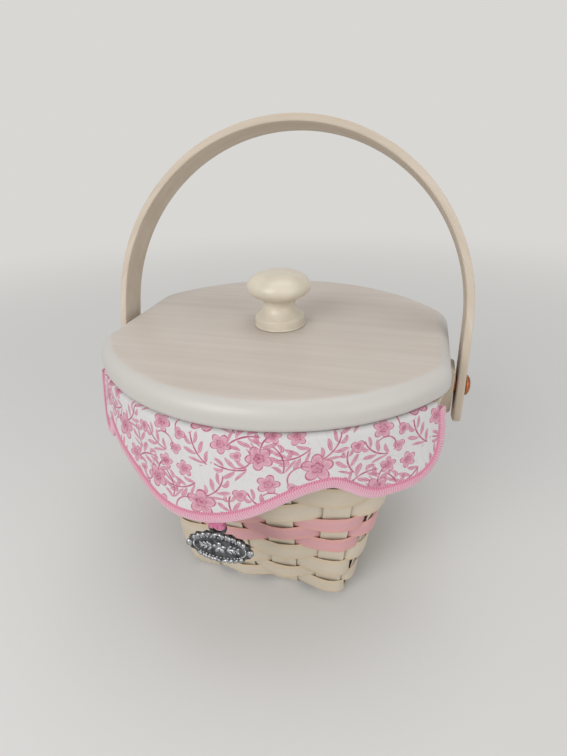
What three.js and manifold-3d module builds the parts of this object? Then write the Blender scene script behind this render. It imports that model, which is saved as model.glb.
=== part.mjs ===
// A lidded splint basket: a woven body that rises from a square base to a bowed rim, a cloth liner
// whose scalloped skirt hangs over the rim, a bentwood swing handle riveted to wooden ears, a loose
// board lid with a turned knob, and a cast charm on a ribbon.
// Millimetres, +Z up. Origin: middle of the underside. Front: -Y. The handle spans X.

import * as THREE from "three";
import { mergeVertices } from "three/addons/utils/BufferGeometryUtils.js";
import Module from "manifold-3d";

const wasm = await Module();
wasm.setup();

// Driving dimensions: clearances
const AIR = 0.3; // between pieces that touch
const PIVOT_AIR = 0.25; // between the rivet's shank and its holes

// Driving dimensions: splints
const SPLINT = 0.8; // thickness of every stake and weaver
const STAKES_PER_SIDE = 4;
const STAKE_WIDTH = 13.5;
const STAKE_PITCH = 23.4; // across the base
const FOOT_MARGIN = 2.65; // past the outermost stakes to the corner of the base
const FOOT_BEND = 3.4; // reach and rise of a stake's bend into the wall
const ROW_GAP = 0.4; // between neighbouring rows
const NARROW_ROW = 7.6;
const WIDE_ROW = 10.6;
const WEAVER_BOW = 1.3; // a weaver's swell over the middle of a stake
const WEAVER_KICK = 1.2; // its lower edge stands this far outside its upper edge
const CORNER_SWELL = 0.8; // how far a weaver rounds out at the four corners
const FOOT_ROWS = 2; // narrow natural rows, counted up from the base
const LOWER_ROWS = 2; // wide natural rows
const PINK_ROWS = 3;
const UPPER_ROWS = 4; // natural rows that share the height left under the rim

// Driving dimensions: rim, measured on the middle of the stakes
const RIM_HALF_WIDTH = 79.5; // to the straight handle sides
const RIM_HALF_DEPTH = 77.2; // to the middle of the bowed front
const RIM_BOW_RADIUS = 93;
const RIM_CORNER = 12;
const RIM_TOP = 126;
const RIM_SHY = 1; // stakes and ears end this far below the rim's top
const RIM_HEIGHT = 14.4;
const RIM_THICK = 3.2;

// Driving dimensions: liner
const CLOTH = 0.8;
const LINER_EASE = 1.4; // between the inner rim and the liner
const LINER_TOE = 4; // how far the floor's edge is rounded in
const SLIT_EASE = 17.8; // between an ear and the skirt's edging
const SKIRT_DROP = 38.7; // rim to the lowest point of the middle scallop
const NOTCH_DROP = 18.8; // rim to the two notches
const SIDE_DROP = 28.4; // rim to the side scallops
const END_DROP = 3; // rim to the skirt's edge beside the slit
const NOTCH_REACH = 55.5; // along the rim from the middle of the scallop to a notch
const SKIRT_SHIFT = -16.5; // the middle scallop lies left of the basket's middle
const SKIRT_FLARE = 5.5;
const SKIRT_RIPPLE = 0.9;
const EDGING_WIDTH = 5;
const EDGING_THICK = 2.2;

// Driving dimensions: lid
const LID_OVERHANG = 5; // past the middle of the stakes
const LID_THICK = 12.7;
const LID_NOSE = 3.6; // how far the rounded edge reaches in
const CLEAT_LENGTH = 76;
const CLEAT_WIDTH = 9;
const CLEAT_DEPTH = 6;
const CLEAT_SPREAD = 38; // middle of the lid to the middle of a cleat
const KNOB_FOOT_RADIUS = 12.5;
const KNOB_FOOT_HEIGHT = 4.6;
const KNOB_NECK_RADIUS = 8;
const KNOB_NECK_HEIGHT = 9.5;
const KNOB_CAP_RADIUS = 16;
const KNOB_CAP_HEIGHT = 19.5; // lid to the cap's widest ring
const KNOB_HEIGHT = 27;
const SCREW_RADIUS = 2;
const SCREW_HEAD_RADIUS = 4;
const SCREW_HEAD_HEIGHT = 2.4;
const SCREW_BITE = 13; // into the knob

// Driving dimensions: handle
const PIVOT_DROP = 11; // rim's top to the pivot
const HANDLE_EASE = 5.3; // between the lid's edge and the inner face of a leg
const HANDLE_THICK = 4;
const HANDLE_WIDTH = 15.9;
const HANDLE_SPRING = 30.4; // pivot to the middle of the arch
const LEG_TAIL = 19; // pivot to a leg's lower end
const TAIL_ROUND = 6;
const HANDLE_LEAN = 17; // degrees, towards the back
const EAR_WIDTH = 15;
const EAR_TAIL = 13; // pivot to the ear's lower end
const EAR_TOE = 4; // thickness of the ear's lower end
const WASHER_THICK = 0.8;
const WASHER_RADIUS = 5;
const RIVET_RADIUS = 2;
const RIVET_HEAD_RADIUS = 5.2;
const RIVET_HEAD_HEIGHT = 2.6;
const RIVET_EDGE = 0.5; // upright edge of the domed head

// Driving dimensions: charm
const CHARM_HALF_WIDTH = 15;
const CHARM_HALF_HEIGHT = 8.2;
const CHARM_THICK = 1.6;
const CHARM_LOBES = 16;
const CHARM_LOBE_DEPTH = 0.5;
const EYELET_HOLE = 2.8;
const EYELET_WALL = 1.4;
const CHARM_X = -6.4; // left of the middle
const RIBBON_WIDTH = 3.2;
const RIBBON_THICK = 0.5;
const RIBBON_TUCK = 10; // sewn length behind the hem
const RIBBON_DROP = 4.6; // hem to the eyelet
const RIBBON_SLACK = 0.7; // between the eyelet and each strand, so that the charm can swing

// Sizes that follow from them
const STAKES = 4 * STAKES_PER_SIDE;
const FOOT_HALF = ((STAKES_PER_SIDE - 1) * STAKE_PITCH + STAKE_WIDTH) / 2 + FOOT_MARGIN;
const BASE_WAVE = (SPLINT + AIR) / 2; // a base strip's rise and fall about the middle of the weave
const BASE_MIDDLE = BASE_WAVE + SPLINT / 2;
const WALL_FOOT = BASE_MIDDLE + FOOT_BEND;
const STAKE_TOP = RIM_TOP - RIM_SHY;
const RIM_LOW = RIM_TOP - RIM_HEIGHT;
const RIM_CLEAR = SPLINT / 2 + AIR;
const RIM_FACE = RIM_CLEAR + RIM_THICK; // middle of the stakes to a band's outer face
const LINER_INSET = RIM_FACE + LINER_EASE; // inside the middle of the stakes
const SLIT_HALF = EAR_WIDTH / 2 + EDGING_WIDTH + SLIT_EASE;
const LID_BOTTOM = RIM_TOP + 2 * AIR + CLOTH;
const LID_TOP = LID_BOTTOM + LID_THICK;
const PIVOT_HEIGHT = RIM_TOP - PIVOT_DROP;
const HANDLE_HALF_WIDTH = RIM_HALF_WIDTH + LID_OVERHANG + HANDLE_EASE; // to a leg's inner face
const WASHER_INNER = HANDLE_HALF_WIDTH - AIR - WASHER_THICK;
const EAR_FACE = WASHER_INNER - AIR;
const EAR_TOP = RIM_TOP - RIM_SHY;
const EAR_FOOT = PIVOT_HEIGHT - EAR_TAIL;
const EYELET_RADIUS = EYELET_HOLE + EYELET_WALL;

// Facets
const STAKE_STEPS = 14; // the corner stakes twist as they rise
const LINER_STEPS = 48;
const SKIRT_COLUMNS = 48;
const SKIRT_ROWS = 4;
const ARCH_STEPS = 36;

// Finishes
const finish = (color, roughness, metalness = 0) =>
  new THREE.MeshStandardMaterial({ color, roughness, metalness });
const WHITEWASHED_MAPLE = finish(0xcbbfae, 0.75);
const PINK_SPLINT = finish(0xd0969a, 0.75);
const BENT_ASH = finish(0xc9b79f, 0.65);
const LID_PINE = finish(0xc9bdb3, 0.55);
const IVORY_PAINT = finish(0xd8d0be, 0.4);
const PRINTED_COTTON = finish(0xdddcda, 0.9);
const PINK_THREAD = finish(0xe79ab5, 0.85);
const COPPER = finish(0xb4653f, 0.35, 1);
const ZINC_STEEL = finish(0xaeb0b0, 0.4, 1);
const PEWTER = finish(0x6f7274, 0.35, 1);
const SATIN_RIBBON = finish(0xd9809f, 0.6);

const basket = new THREE.Group();

function piece(name, geometry, material, parent = basket) {
  const mesh = new THREE.Mesh(geometry, material);
  mesh.name = name;
  parent.add(mesh);
  return mesh;
}

// Solids from rows of points

// A closed surface with its triangles turned to face outwards.
function closedSurface(points, triangles) {
  let volume = 0;
  for (const [a, b, c] of triangles)
    volume += points[a].dot(points[b].clone().cross(points[c]));
  const faces = volume < 0 ? triangles.map(([a, b, c]) => [a, c, b]) : triangles;
  const geometry = new THREE.BufferGeometry().setFromPoints(points);
  return geometry.setIndex(faces.flat());
}

// Joins like sections, each an even ring of corners, into a solid. A closed run has no ends.
function loft(sections, closed = false) {
  const corners = sections[0].length;
  const triangles = [];
  const quad = (a, b, c, d) => triangles.push([a, b, c], [a, c, d]);
  const spans = closed ? sections.length : sections.length - 1;
  for (let i = 0; i < spans; i++) {
    const here = i * corners;
    const next = ((i + 1) % sections.length) * corners;
    for (let j = 0; j < corners; j++) {
      const k = (j + 1) % corners;
      quad(here + j, here + k, next + k, next + j);
    }
  }
  if (!closed) {
    const last = (sections.length - 1) * corners;
    for (let j = 0; j < corners / 2 - 1; j++) {
      const far = corners - 1 - j;
      quad(j, far, far - 1, j + 1);
      quad(last + j, last + j + 1, last + far - 1, last + far);
    }
  }
  return closedSurface(sections.flat(), triangles);
}

// A flat strip's section: half its width one way, half its thickness the other.
function stripSection(centre, half_width, half_thick) {
  const corner = (w, t) =>
    centre.clone().addScaledVector(half_width, w).addScaledVector(half_thick, t);
  return [corner(-1, 1), corner(1, 1), corner(1, -1), corner(-1, -1)];
}

// Cuts and joins

function toSolid(geometry) {
  const bare = geometry.clone();
  bare.deleteAttribute("normal");
  bare.deleteAttribute("uv");
  const merged = mergeVertices(bare, 1e-4);
  const mesh = new wasm.Mesh({
    numProp: 3,
    vertProperties: merged.attributes.position.array,
    triVerts: new Uint32Array(merged.index.array),
  });
  return new wasm.Manifold(mesh);
}

function fromSolid(solid) {
  const mesh = solid.getMesh();
  const geometry = new THREE.BufferGeometry();
  geometry.setAttribute("position", new THREE.BufferAttribute(mesh.vertProperties, 3));
  return geometry.setIndex(new THREE.BufferAttribute(mesh.triVerts, 1));
}

const cut = (geometry, tool) => fromSolid(toSolid(geometry).subtract(toSolid(tool)));
const join = (geometry, other) => fromSolid(toSolid(geometry).add(toSolid(other)));

// A round bar along X through the pivot, long enough to cross the whole basket.
function pivotBar(radius) {
  const bar = new THREE.CylinderGeometry(radius, radius, 4 * RIM_HALF_WIDTH, 16);
  return bar.rotateZ(Math.PI / 2).translate(0, 0, PIVOT_HEIGHT);
}

// The bowed outline of rim and lid

// Straight handle sides, bowed front and back, rounded corners: from the front's middle anticlockwise.
function bowedOutline(offset) {
  const half_width = RIM_HALF_WIDTH + offset;
  const radius = RIM_BOW_RADIUS + offset;
  const corner = RIM_CORNER + offset;
  const bow_y = RIM_BOW_RADIUS - RIM_HALF_DEPTH;
  const corner_x = half_width - corner;
  const corner_y = bow_y - Math.sqrt((radius - corner) ** 2 - corner_x ** 2);
  const turn = Math.atan2(corner_y - bow_y, corner_x);
  const outline = new THREE.Shape();
  outline.absarc(0, bow_y, radius, -Math.PI / 2, turn);
  outline.absarc(corner_x, corner_y, corner, turn, 0);
  outline.absarc(corner_x, -corner_y, corner, 0, -turn);
  outline.absarc(0, -bow_y, radius, -turn, Math.PI + turn);
  outline.absarc(-corner_x, -corner_y, corner, Math.PI + turn, Math.PI);
  outline.absarc(-corner_x, corner_y, corner, Math.PI, Math.PI - turn);
  outline.absarc(0, bow_y, radius, Math.PI - turn, 1.5 * Math.PI);
  return outline;
}

const RIM = bowedOutline(0);
const RIM_LENGTH = RIM.getLength();
const wrap = (share) => ((share % 1) + 1) % 1;
const outward = (tangent) => new THREE.Vector3(tangent.y, -tangent.x, 0).normalize();

// A point on the rim's outline and the horizontal directions along and out of it.
function rimFrame(share) {
  const point = RIM.getPoint(wrap(share));
  const step = 1e-3;
  const along = RIM.getPoint(wrap(share + step)).sub(RIM.getPoint(wrap(share - step))).normalize();
  return {
    point: new THREE.Vector3(point.x, point.y, 0),
    along: new THREE.Vector3(along.x, along.y, 0),
    out: outward(along),
  };
}

// Stakes

const quarterTurn = (vector, turns) =>
  vector.applyAxisAngle(new THREE.Vector3(0, 0, 1), (turns * Math.PI) / 2);

// Stake 0 stands just right of the front's middle, and the count runs anticlockwise.
const STAKE_FRAMES = Array.from({ length: STAKES }, (_, index) => {
  const half = STAKES_PER_SIDE / 2;
  const side = Math.floor((index + half) / STAKES_PER_SIDE);
  const place = ((index + half) % STAKES_PER_SIDE) - (STAKES_PER_SIDE - 1) / 2;
  const foot = quarterTurn(new THREE.Vector3(place * STAKE_PITCH, -FOOT_HALF, 0), side);
  const foot_along = quarterTurn(new THREE.Vector3(1, 0, 0), side);
  const top = rimFrame((index + 0.5) / STAKES);
  const edge = (end) => ({
    foot: foot.clone().addScaledVector(foot_along, (end * STAKE_WIDTH) / 2),
    top: top.point.clone().addScaledVector(top.along, (end * STAKE_WIDTH) / 2),
  });
  return { place, foot_along, left: edge(-1), right: edge(1) };
});

// A point on a stake's edge line at a height.
function onEdge(edge, height) {
  const rise = (height - WALL_FOOT) / (RIM_TOP - WALL_FOOT);
  return edge.foot.clone().lerp(edge.top, rise).setZ(height);
}

// A stake's middle, half-width and outward direction at a height.
function stakeAt(index, height) {
  const stake = STAKE_FRAMES[(index + STAKES) % STAKES];
  const left = onEdge(stake.left, height);
  const right = onEdge(stake.right, height);
  const half_width = right.clone().sub(left).multiplyScalar(0.5);
  return { left, right, middle: left.clone().add(half_width), half_width, out: outward(half_width) };
}

// The bend from the base into the wall, and the slightly twisted run up to the rim.
function wallSections(index) {
  const { middle, half_width, out } = stakeAt(index, WALL_FOOT);
  const down = new THREE.Vector3(0, 0, -1);
  const half = SPLINT / 2;
  const corner = middle.clone().setZ(BASE_MIDDLE).addScaledVector(out, -FOOT_BEND);
  const bend = (angle) => {
    const facing = down.clone().multiplyScalar(Math.cos(angle)).addScaledVector(out, Math.sin(angle));
    const centre = corner.clone().addScaledVector(out, FOOT_BEND * Math.sin(angle));
    centre.z += FOOT_BEND * (1 - Math.cos(angle));
    return stripSection(centre, half_width, facing.multiplyScalar(half));
  };
  const sections = [bend(Math.PI / 4), bend(Math.PI / 2)];
  for (let step = 1; step <= STAKE_STEPS; step++) {
    const height = WALL_FOOT + ((STAKE_TOP - WALL_FOOT) * step) / STAKE_STEPS;
    const at = stakeAt(index, height);
    sections.push(stripSection(at.middle, at.half_width, at.out.multiplyScalar(half)));
  }
  return sections;
}

// One stake: up one side, across the base over and under its neighbours, and up the other side.
function stakeGeometry(start, finish_index, over_first) {
  const from = stakeAt(start, WALL_FOOT);
  const inward = from.out.clone().negate();
  const half_width = from.half_width;
  const facing = new THREE.Vector3(0, 0, -SPLINT / 2);
  const sections = wallSections(start).reverse();
  for (let crossing = 0; crossing < STAKES_PER_SIDE; crossing++) {
    const reach = FOOT_HALF + (crossing - (STAKES_PER_SIDE - 1) / 2) * STAKE_PITCH;
    const over = (crossing % 2 === 0) === over_first;
    for (const end of [-1, 1]) {
      const centre = from.middle.clone().addScaledVector(inward, reach + (end * STAKE_WIDTH) / 2);
      centre.z = BASE_MIDDLE + (over ? BASE_WAVE : -BASE_WAVE);
      sections.push(stripSection(centre, half_width, facing));
    }
  }
  const far = wallSections(finish_index).map(([a, b, c, d]) => [b, a, d, c]);
  return loft([...sections, ...far]);
}

function addStakes() {
  const half = STAKES_PER_SIDE / 2;
  for (const [side, name] of ["cross_stake", "side_stake"].entries())
    for (let place = 0; place < STAKES_PER_SIDE; place++) {
      const start = (side * STAKES_PER_SIDE + place - half + STAKES) % STAKES;
      const opposite = ((side + 2) * STAKES_PER_SIDE + half - 1 - place) % STAKES;
      const over_first = (place + side * STAKES_PER_SIDE) % 2 === 0;
      piece(`${name}_${place + 1}`, stakeGeometry(start, opposite, over_first), WHITEWASHED_MAPLE);
    }
}

// Weavers

// A band's section beside a stake's edge line, given its offsets from the stake's middle.
function bandSection(at, low, high, low_offset, high_offset, thick) {
  const bottom = at(low);
  const top = at(high);
  const corner = (frame, offset) => frame.point.clone().addScaledVector(frame.out, offset);
  const half = thick / 2;
  return [
    corner(top, high_offset + half),
    corner(bottom, low_offset + half),
    corner(bottom, low_offset - half),
    corner(top, high_offset - half),
  ];
}

// Places along a row: a stake's two edges and its middle, and the middle of the gap that follows.
const onStake = (index, share) => (height) => {
  const { left, right, out } = stakeAt(index, height);
  return { point: left.clone().lerp(right, share), out };
};
const inGap = (index, share, swell) => (height) => {
  const here = stakeAt(index, height);
  const next = stakeAt(index + 1, height);
  const out = here.out.clone().lerp(next.out, share).normalize();
  const point = here.right.clone().lerp(next.left, share);
  return { point: point.addScaledVector(out, swell), out };
};
const isCorner = (index) => index % STAKES_PER_SIDE === STAKES_PER_SIDE / 2 - 1;

// One row, in front of every other stake and behind the rest.
function weaverGeometry(row, low, high) {
  const clear = SPLINT + AIR;
  const sections = [];
  for (let index = 0; index < STAKES; index++) {
    const over = (index + row) % 2 === 1;
    for (const [share, bow] of [[0, 0], [0.5, WEAVER_BOW], [1, 0]]) {
      const low_offset = over ? clear + WEAVER_KICK + bow : -clear - bow;
      const at = onStake(index, share);
      sections.push(bandSection(at, low, high, low_offset, low_offset - WEAVER_KICK, SPLINT));
    }
    const at = inGap(index, 0.5, isCorner(index) ? CORNER_SWELL : 0);
    sections.push(bandSection(at, low, high, WEAVER_KICK / 2, -WEAVER_KICK / 2, SPLINT));
  }
  return loft(sections, true);
}

function addWeavers() {
  const runs = [
    ["foot_weaver", FOOT_ROWS, NARROW_ROW, WHITEWASHED_MAPLE],
    ["lower_weaver", LOWER_ROWS, WIDE_ROW, WHITEWASHED_MAPLE],
    ["pink_weaver", PINK_ROWS, NARROW_ROW, PINK_SPLINT],
    ["upper_weaver", UPPER_ROWS, 0, WHITEWASHED_MAPLE],
  ];
  let row = 0;
  let low = WALL_FOOT + ROW_GAP;
  for (const [name, rows, set_height, material] of runs) {
    const height = set_height || (RIM_LOW - low) / rows - ROW_GAP;
    for (let count = 1; count <= rows; count++) {
      piece(`${name}_${count}`, weaverGeometry(row, low, low + height), material);
      low += height + ROW_GAP;
      row++;
    }
  }
}

// Rim bands

// A band round the rim, flat against each stake and rounded across the gaps.
function rimGeometry(side) {
  const offset = side * (RIM_CLEAR + RIM_THICK / 2);
  const sections = [];
  for (let index = 0; index < STAKES; index++) {
    for (const share of [0, 0.5, 1])
      sections.push(bandSection(onStake(index, share), RIM_LOW, RIM_TOP, offset, offset, RIM_THICK));
    const middle = (height) => {
      const { point, out } = rimFrame((index + 1) / STAKES);
      const gap = inGap(index, 0.5, 0)(height);
      const rise = (height - WALL_FOOT) / (RIM_TOP - WALL_FOOT);
      const swell = Math.max(0, point.clone().sub(inGap(index, 0.5, 0)(RIM_TOP).point).dot(out));
      return { point: gap.point.addScaledVector(out, swell * rise), out: gap.out };
    };
    sections.push(bandSection(middle, RIM_LOW, RIM_TOP, offset, offset, RIM_THICK));
  }
  return cut(loft(sections, true), pivotBar(RIVET_RADIUS + PIVOT_AIR));
}

// Liner

const LINER_FLOOR = 2 * BASE_MIDDLE + AIR;
const LINER_TOP = RIM_TOP - AIR;

// A point of the liner's bag: a rounded square at the foot that opens to the bowed rim.
function linerPoint(share, height, inset) {
  const top = rimFrame(share);
  const angle = Math.atan2(top.point.y, top.point.x);
  const half = FOOT_HALF - inset;
  const square = 5; // the foot is a rounded square: |x|^5 + |y|^5 is constant
  const spread = Math.abs(Math.cos(angle)) ** square + Math.abs(Math.sin(angle)) ** square;
  const reach = half * spread ** (-1 / square);
  const foot = new THREE.Vector3(reach * Math.cos(angle), reach * Math.sin(angle), 0);
  const rise = (height - WALL_FOOT) / (RIM_TOP - WALL_FOOT);
  return foot.lerp(top.point.addScaledVector(top.out, -inset), Math.max(0, rise)).setZ(height);
}

// The bag: a thin open cup.
function linerGeometry() {
  const heights = (floor) => [
    [floor, LINER_TOE],
    [floor + LINER_TOE, 0],
    [(floor + LINER_TOP) / 2, 0],
    [LINER_TOP, 0],
  ];
  const outside = heights(LINER_FLOOR).map(([height, toe]) => [height, LINER_INSET + toe]);
  const inner_inset = LINER_INSET + CLOTH;
  const inside = heights(LINER_FLOOR + CLOTH).map(([height, toe]) => [height, inner_inset + toe]);
  const rings = [...outside, ...inside.reverse()];
  const points = [];
  const triangles = [];
  const corner = (ring, step) => ring * LINER_STEPS + (step % LINER_STEPS);
  for (const [height, inset] of rings)
    for (let step = 0; step < LINER_STEPS; step++)
      points.push(linerPoint(step / LINER_STEPS, height, inset));
  for (let ring = 0; ring < rings.length - 1; ring++)
    for (let step = 0; step < LINER_STEPS; step++) {
      const [a, b] = [corner(ring, step), corner(ring, step + 1)];
      const [c, d] = [corner(ring + 1, step + 1), corner(ring + 1, step)];
      triangles.push([a, b, c], [a, c, d]);
    }
  const last = rings.length - 1;
  points.push(new THREE.Vector3(0, 0, LINER_FLOOR), new THREE.Vector3(0, 0, LINER_FLOOR + CLOTH));
  for (let step = 0; step < LINER_STEPS; step++) {
    triangles.push([points.length - 2, corner(0, step + 1), corner(0, step)]);
    triangles.push([points.length - 1, corner(last, step), corner(last, step + 1)]);
  }
  return closedSurface(points, triangles);
}

// Skirt

const STAKE_SAG = STAKE_WIDTH ** 2 / (8 * RIM_BOW_RADIUS); // a flat stake's edges outside the bow
const SKIRT_CLEAR = RIM_FACE + STAKE_SAG + AIR + CLOTH / 2;
const SKIRT_REACH = RIM_LENGTH / 4 - SLIT_HALF; // from the middle to a slit, along the rim

// The skirt's drop below the rim at a distance along the rim from the basket's middle.
function skirtDrop(distance) {
  const run = Math.abs(distance - SKIRT_SHIFT);
  if (run < NOTCH_REACH) {
    const swell = Math.cos((run / NOTCH_REACH) * (Math.PI / 2));
    return NOTCH_DROP + (SKIRT_DROP - NOTCH_DROP) * swell ** 1.64;
  }
  const end = SKIRT_REACH - Math.sign(distance - SKIRT_SHIFT) * SKIRT_SHIFT;
  const side = Math.min(1, (run - NOTCH_REACH) / (end - NOTCH_REACH));
  const dip = NOTCH_DROP + (SIDE_DROP - NOTCH_DROP) * Math.sin(Math.min(1, 2.4 * side) * (Math.PI / 2)) ** 2;
  const corner = Math.max(0, (side - 0.3) / 0.7);
  return END_DROP + (dip - END_DROP) * (1 - corner ** 4) ** (1 / 4);
}

// Points down one column of the skirt, from the liner's lip over the rim to the hem, with normals.
function skirtColumn(distance) {
  const { point, out } = rimFrame(distance / RIM_LENGTH);
  const up = new THREE.Vector3(0, 0, 1);
  const drop = skirtDrop(distance);
  const fold = RIM_TOP + AIR + CLOTH / 2;
  const at = (offset, height, normal) => ({
    point: point.clone().addScaledVector(out, offset).setZ(height),
    normal: normal.clone(),
  });
  const column = [
    at(-LINER_INSET - CLOTH / 2, fold, up),
    at(SKIRT_CLEAR, fold, up.clone().add(out)),
  ];
  const ripple = Math.cos(((distance - SKIRT_SHIFT) / NOTCH_REACH) * Math.PI) * SKIRT_RIPPLE;
  for (let row = 1; row <= SKIRT_ROWS; row++) {
    const share = row / SKIRT_ROWS;
    const hang = (drop * share) / SKIRT_DROP;
    const offset = SKIRT_CLEAR + hang * (SKIRT_FLARE + ripple);
    column.push(at(offset, fold - drop * share, out));
  }
  return column;
}

// Columns crowd towards the slits, where the hem turns up.
const SKIRT_LINES = Array.from({ length: SKIRT_COLUMNS + 1 }, (_, column) => {
  const swing = (column / SKIRT_COLUMNS - 0.5) * Math.PI;
  return skirtColumn(Math.sin(swing) * SKIRT_REACH);
});

function skirtGeometry() {
  const side = (line, sign) =>
    line.map(({ point, normal }) => point.clone().addScaledVector(normal, (sign * CLOTH) / 2));
  return loft(SKIRT_LINES.map((line) => [...side(line, 1), ...side(line, -1).reverse()]));
}

// The overlocked edging that follows the hem.
function edgingGeometry() {
  const hem = SKIRT_LINES.map((line) => line.at(-1));
  const sections = hem.map(({ point, normal }, index) => {
    const before = hem[Math.max(0, index - 1)].point;
    const after = hem[Math.min(hem.length - 1, index + 1)].point;
    const run = after.clone().sub(before).normalize();
    const away = normal.clone().cross(run).normalize();
    if (away.z > 0) away.negate();
    const centre = point.clone().addScaledVector(away, AIR + EDGING_WIDTH / 2);
    const thick = normal.clone().multiplyScalar(EDGING_THICK / 2);
    return stripSection(centre, away.multiplyScalar(EDGING_WIDTH / 2), thick);
  });
  return loft(sections);
}

// Front and back are alike, so the back is the front turned half round.
function addSkirts() {
  for (const [turn, name] of ["front", "back"].entries()) {
    const side = new THREE.Group();
    side.rotation.z = turn * Math.PI;
    basket.add(side);
    piece(`skirt_${name}`, skirtGeometry(), PRINTED_COTTON, side);
    piece(`skirt_edging_${name}`, edgingGeometry(), PINK_THREAD, side);
  }
}

// Lid

function lidBoard() {
  const nose = LID_THICK * 0.42; // the edge is rounded over most of its height
  const board = new THREE.ExtrudeGeometry(bowedOutline(LID_OVERHANG), {
    depth: LID_THICK - 2 * nose,
    bevelThickness: nose,
    bevelSize: LID_NOSE,
    bevelOffset: -LID_NOSE,
    bevelSegments: 2,
    curveSegments: 6,
  }).translate(0, 0, LID_BOTTOM + nose);
  const hole = new THREE.CylinderGeometry(SCREW_RADIUS + AIR, SCREW_RADIUS + AIR, 4 * LID_THICK, 12);
  return cut(board, hole.rotateX(Math.PI / 2).translate(0, 0, LID_TOP));
}

// A turned knob on its foot, bored from below for the screw.
function knobGeometry() {
  const bore = SCREW_RADIUS + AIR;
  const cap_low = KNOB_CAP_HEIGHT - (KNOB_HEIGHT - KNOB_CAP_HEIGHT) * 0.8;
  const profile = new THREE.Path();
  profile.moveTo(0, SCREW_BITE + AIR);
  profile.lineTo(bore, SCREW_BITE + AIR);
  profile.lineTo(bore, 0);
  profile.lineTo(KNOB_FOOT_RADIUS, 0);
  profile.lineTo(KNOB_FOOT_RADIUS, KNOB_FOOT_HEIGHT - 1);
  profile.quadraticCurveTo(KNOB_FOOT_RADIUS, KNOB_FOOT_HEIGHT, KNOB_FOOT_RADIUS - 1, KNOB_FOOT_HEIGHT);
  profile.quadraticCurveTo(KNOB_NECK_RADIUS, KNOB_FOOT_HEIGHT + 1, KNOB_NECK_RADIUS, KNOB_NECK_HEIGHT);
  profile.quadraticCurveTo(KNOB_NECK_RADIUS, cap_low, KNOB_CAP_RADIUS - 4, cap_low);
  profile.quadraticCurveTo(KNOB_CAP_RADIUS, cap_low + 1, KNOB_CAP_RADIUS, KNOB_CAP_HEIGHT);
  profile.bezierCurveTo(KNOB_CAP_RADIUS, KNOB_HEIGHT - 3, KNOB_CAP_RADIUS - 5, KNOB_HEIGHT, 0, KNOB_HEIGHT);
  const knob = new THREE.LatheGeometry(profile.getPoints(3), 20);
  return knob.rotateX(Math.PI / 2).translate(0, 0, LID_TOP + AIR);
}

// The screw that holds the knob, its head under the lid.
function screwGeometry() {
  const profile = [
    new THREE.Vector2(0, -SCREW_HEAD_HEIGHT),
    new THREE.Vector2(SCREW_HEAD_RADIUS * 0.8, -SCREW_HEAD_HEIGHT),
    new THREE.Vector2(SCREW_HEAD_RADIUS, -SCREW_HEAD_HEIGHT * 0.4),
    new THREE.Vector2(SCREW_HEAD_RADIUS, 0),
    new THREE.Vector2(SCREW_RADIUS, 0),
    new THREE.Vector2(SCREW_RADIUS, LID_THICK + 2 * AIR + SCREW_BITE - SCREW_RADIUS),
    new THREE.Vector2(0, LID_THICK + 2 * AIR + SCREW_BITE),
  ];
  const screw = new THREE.LatheGeometry(profile, 12);
  return screw.rotateX(Math.PI / 2).translate(0, 0, LID_BOTTOM - AIR);
}

// A locating cleat under the lid, with round ends.
function cleatGeometry() {
  const straight = CLEAT_LENGTH / 2 - CLEAT_WIDTH / 2;
  const outline = new THREE.Shape();
  outline.absarc(straight, 0, CLEAT_WIDTH / 2, -Math.PI / 2, Math.PI / 2);
  outline.absarc(-straight, 0, CLEAT_WIDTH / 2, Math.PI / 2, 1.5 * Math.PI);
  return new THREE.ExtrudeGeometry(outline, {
    depth: CLEAT_DEPTH,
    bevelEnabled: false,
    curveSegments: 6,
  });
}

function addLid() {
  piece("lid_board", lidBoard(), LID_PINE);
  piece("knob", knobGeometry(), IVORY_PAINT);
  piece("knob_screw", screwGeometry(), ZINC_STEEL);
  for (const [name, side] of [["front", -1], ["back", 1]]) {
    const cleat = piece(`lid_cleat_${name}`, cleatGeometry(), LID_PINE);
    cleat.position.set(0, side * CLEAT_SPREAD, LID_BOTTOM - AIR - CLEAT_DEPTH);
  }
}

// Handle and its fittings

// Half the width of a leg near its rounded end, at a distance from the end.
function tailHalfWidth(distance) {
  const shy = Math.max(0, TAIL_ROUND - distance);
  return HANDLE_WIDTH / 2 - TAIL_ROUND + Math.sqrt(TAIL_ROUND ** 2 - shy ** 2);
}

// The bent strip, upright in the XZ plane with its pivot at the origin.
function handleGeometry() {
  const radius = HANDLE_HALF_WIDTH + HANDLE_THICK / 2;
  const sections = [];
  const section = (x, z, facing, half_width) =>
    stripSection(
      new THREE.Vector3(x, 0, z),
      new THREE.Vector3(0, half_width, 0),
      facing.multiplyScalar(HANDLE_THICK / 2),
    );
  const leg = (side) =>
    [0.1, 0.35, 0.7, 1].map((share) => {
      const distance = TAIL_ROUND * share;
      const facing = new THREE.Vector3(side, 0, 0);
      return section(side * radius, distance - LEG_TAIL, facing, tailHalfWidth(distance));
    });
  sections.push(...leg(1));
  for (let step = 0; step <= ARCH_STEPS; step++) {
    const angle = (step / ARCH_STEPS) * Math.PI;
    const facing = new THREE.Vector3(Math.cos(angle), 0, Math.sin(angle));
    const centre = facing.clone().multiplyScalar(radius);
    sections.push(section(centre.x, HANDLE_SPRING + centre.z, facing, HANDLE_WIDTH / 2));
  }
  sections.push(...leg(-1).reverse());
  const bar = pivotBar(RIVET_RADIUS + PIVOT_AIR).translate(0, 0, -PIVOT_HEIGHT);
  return cut(loft(sections), bar);
}

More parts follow.
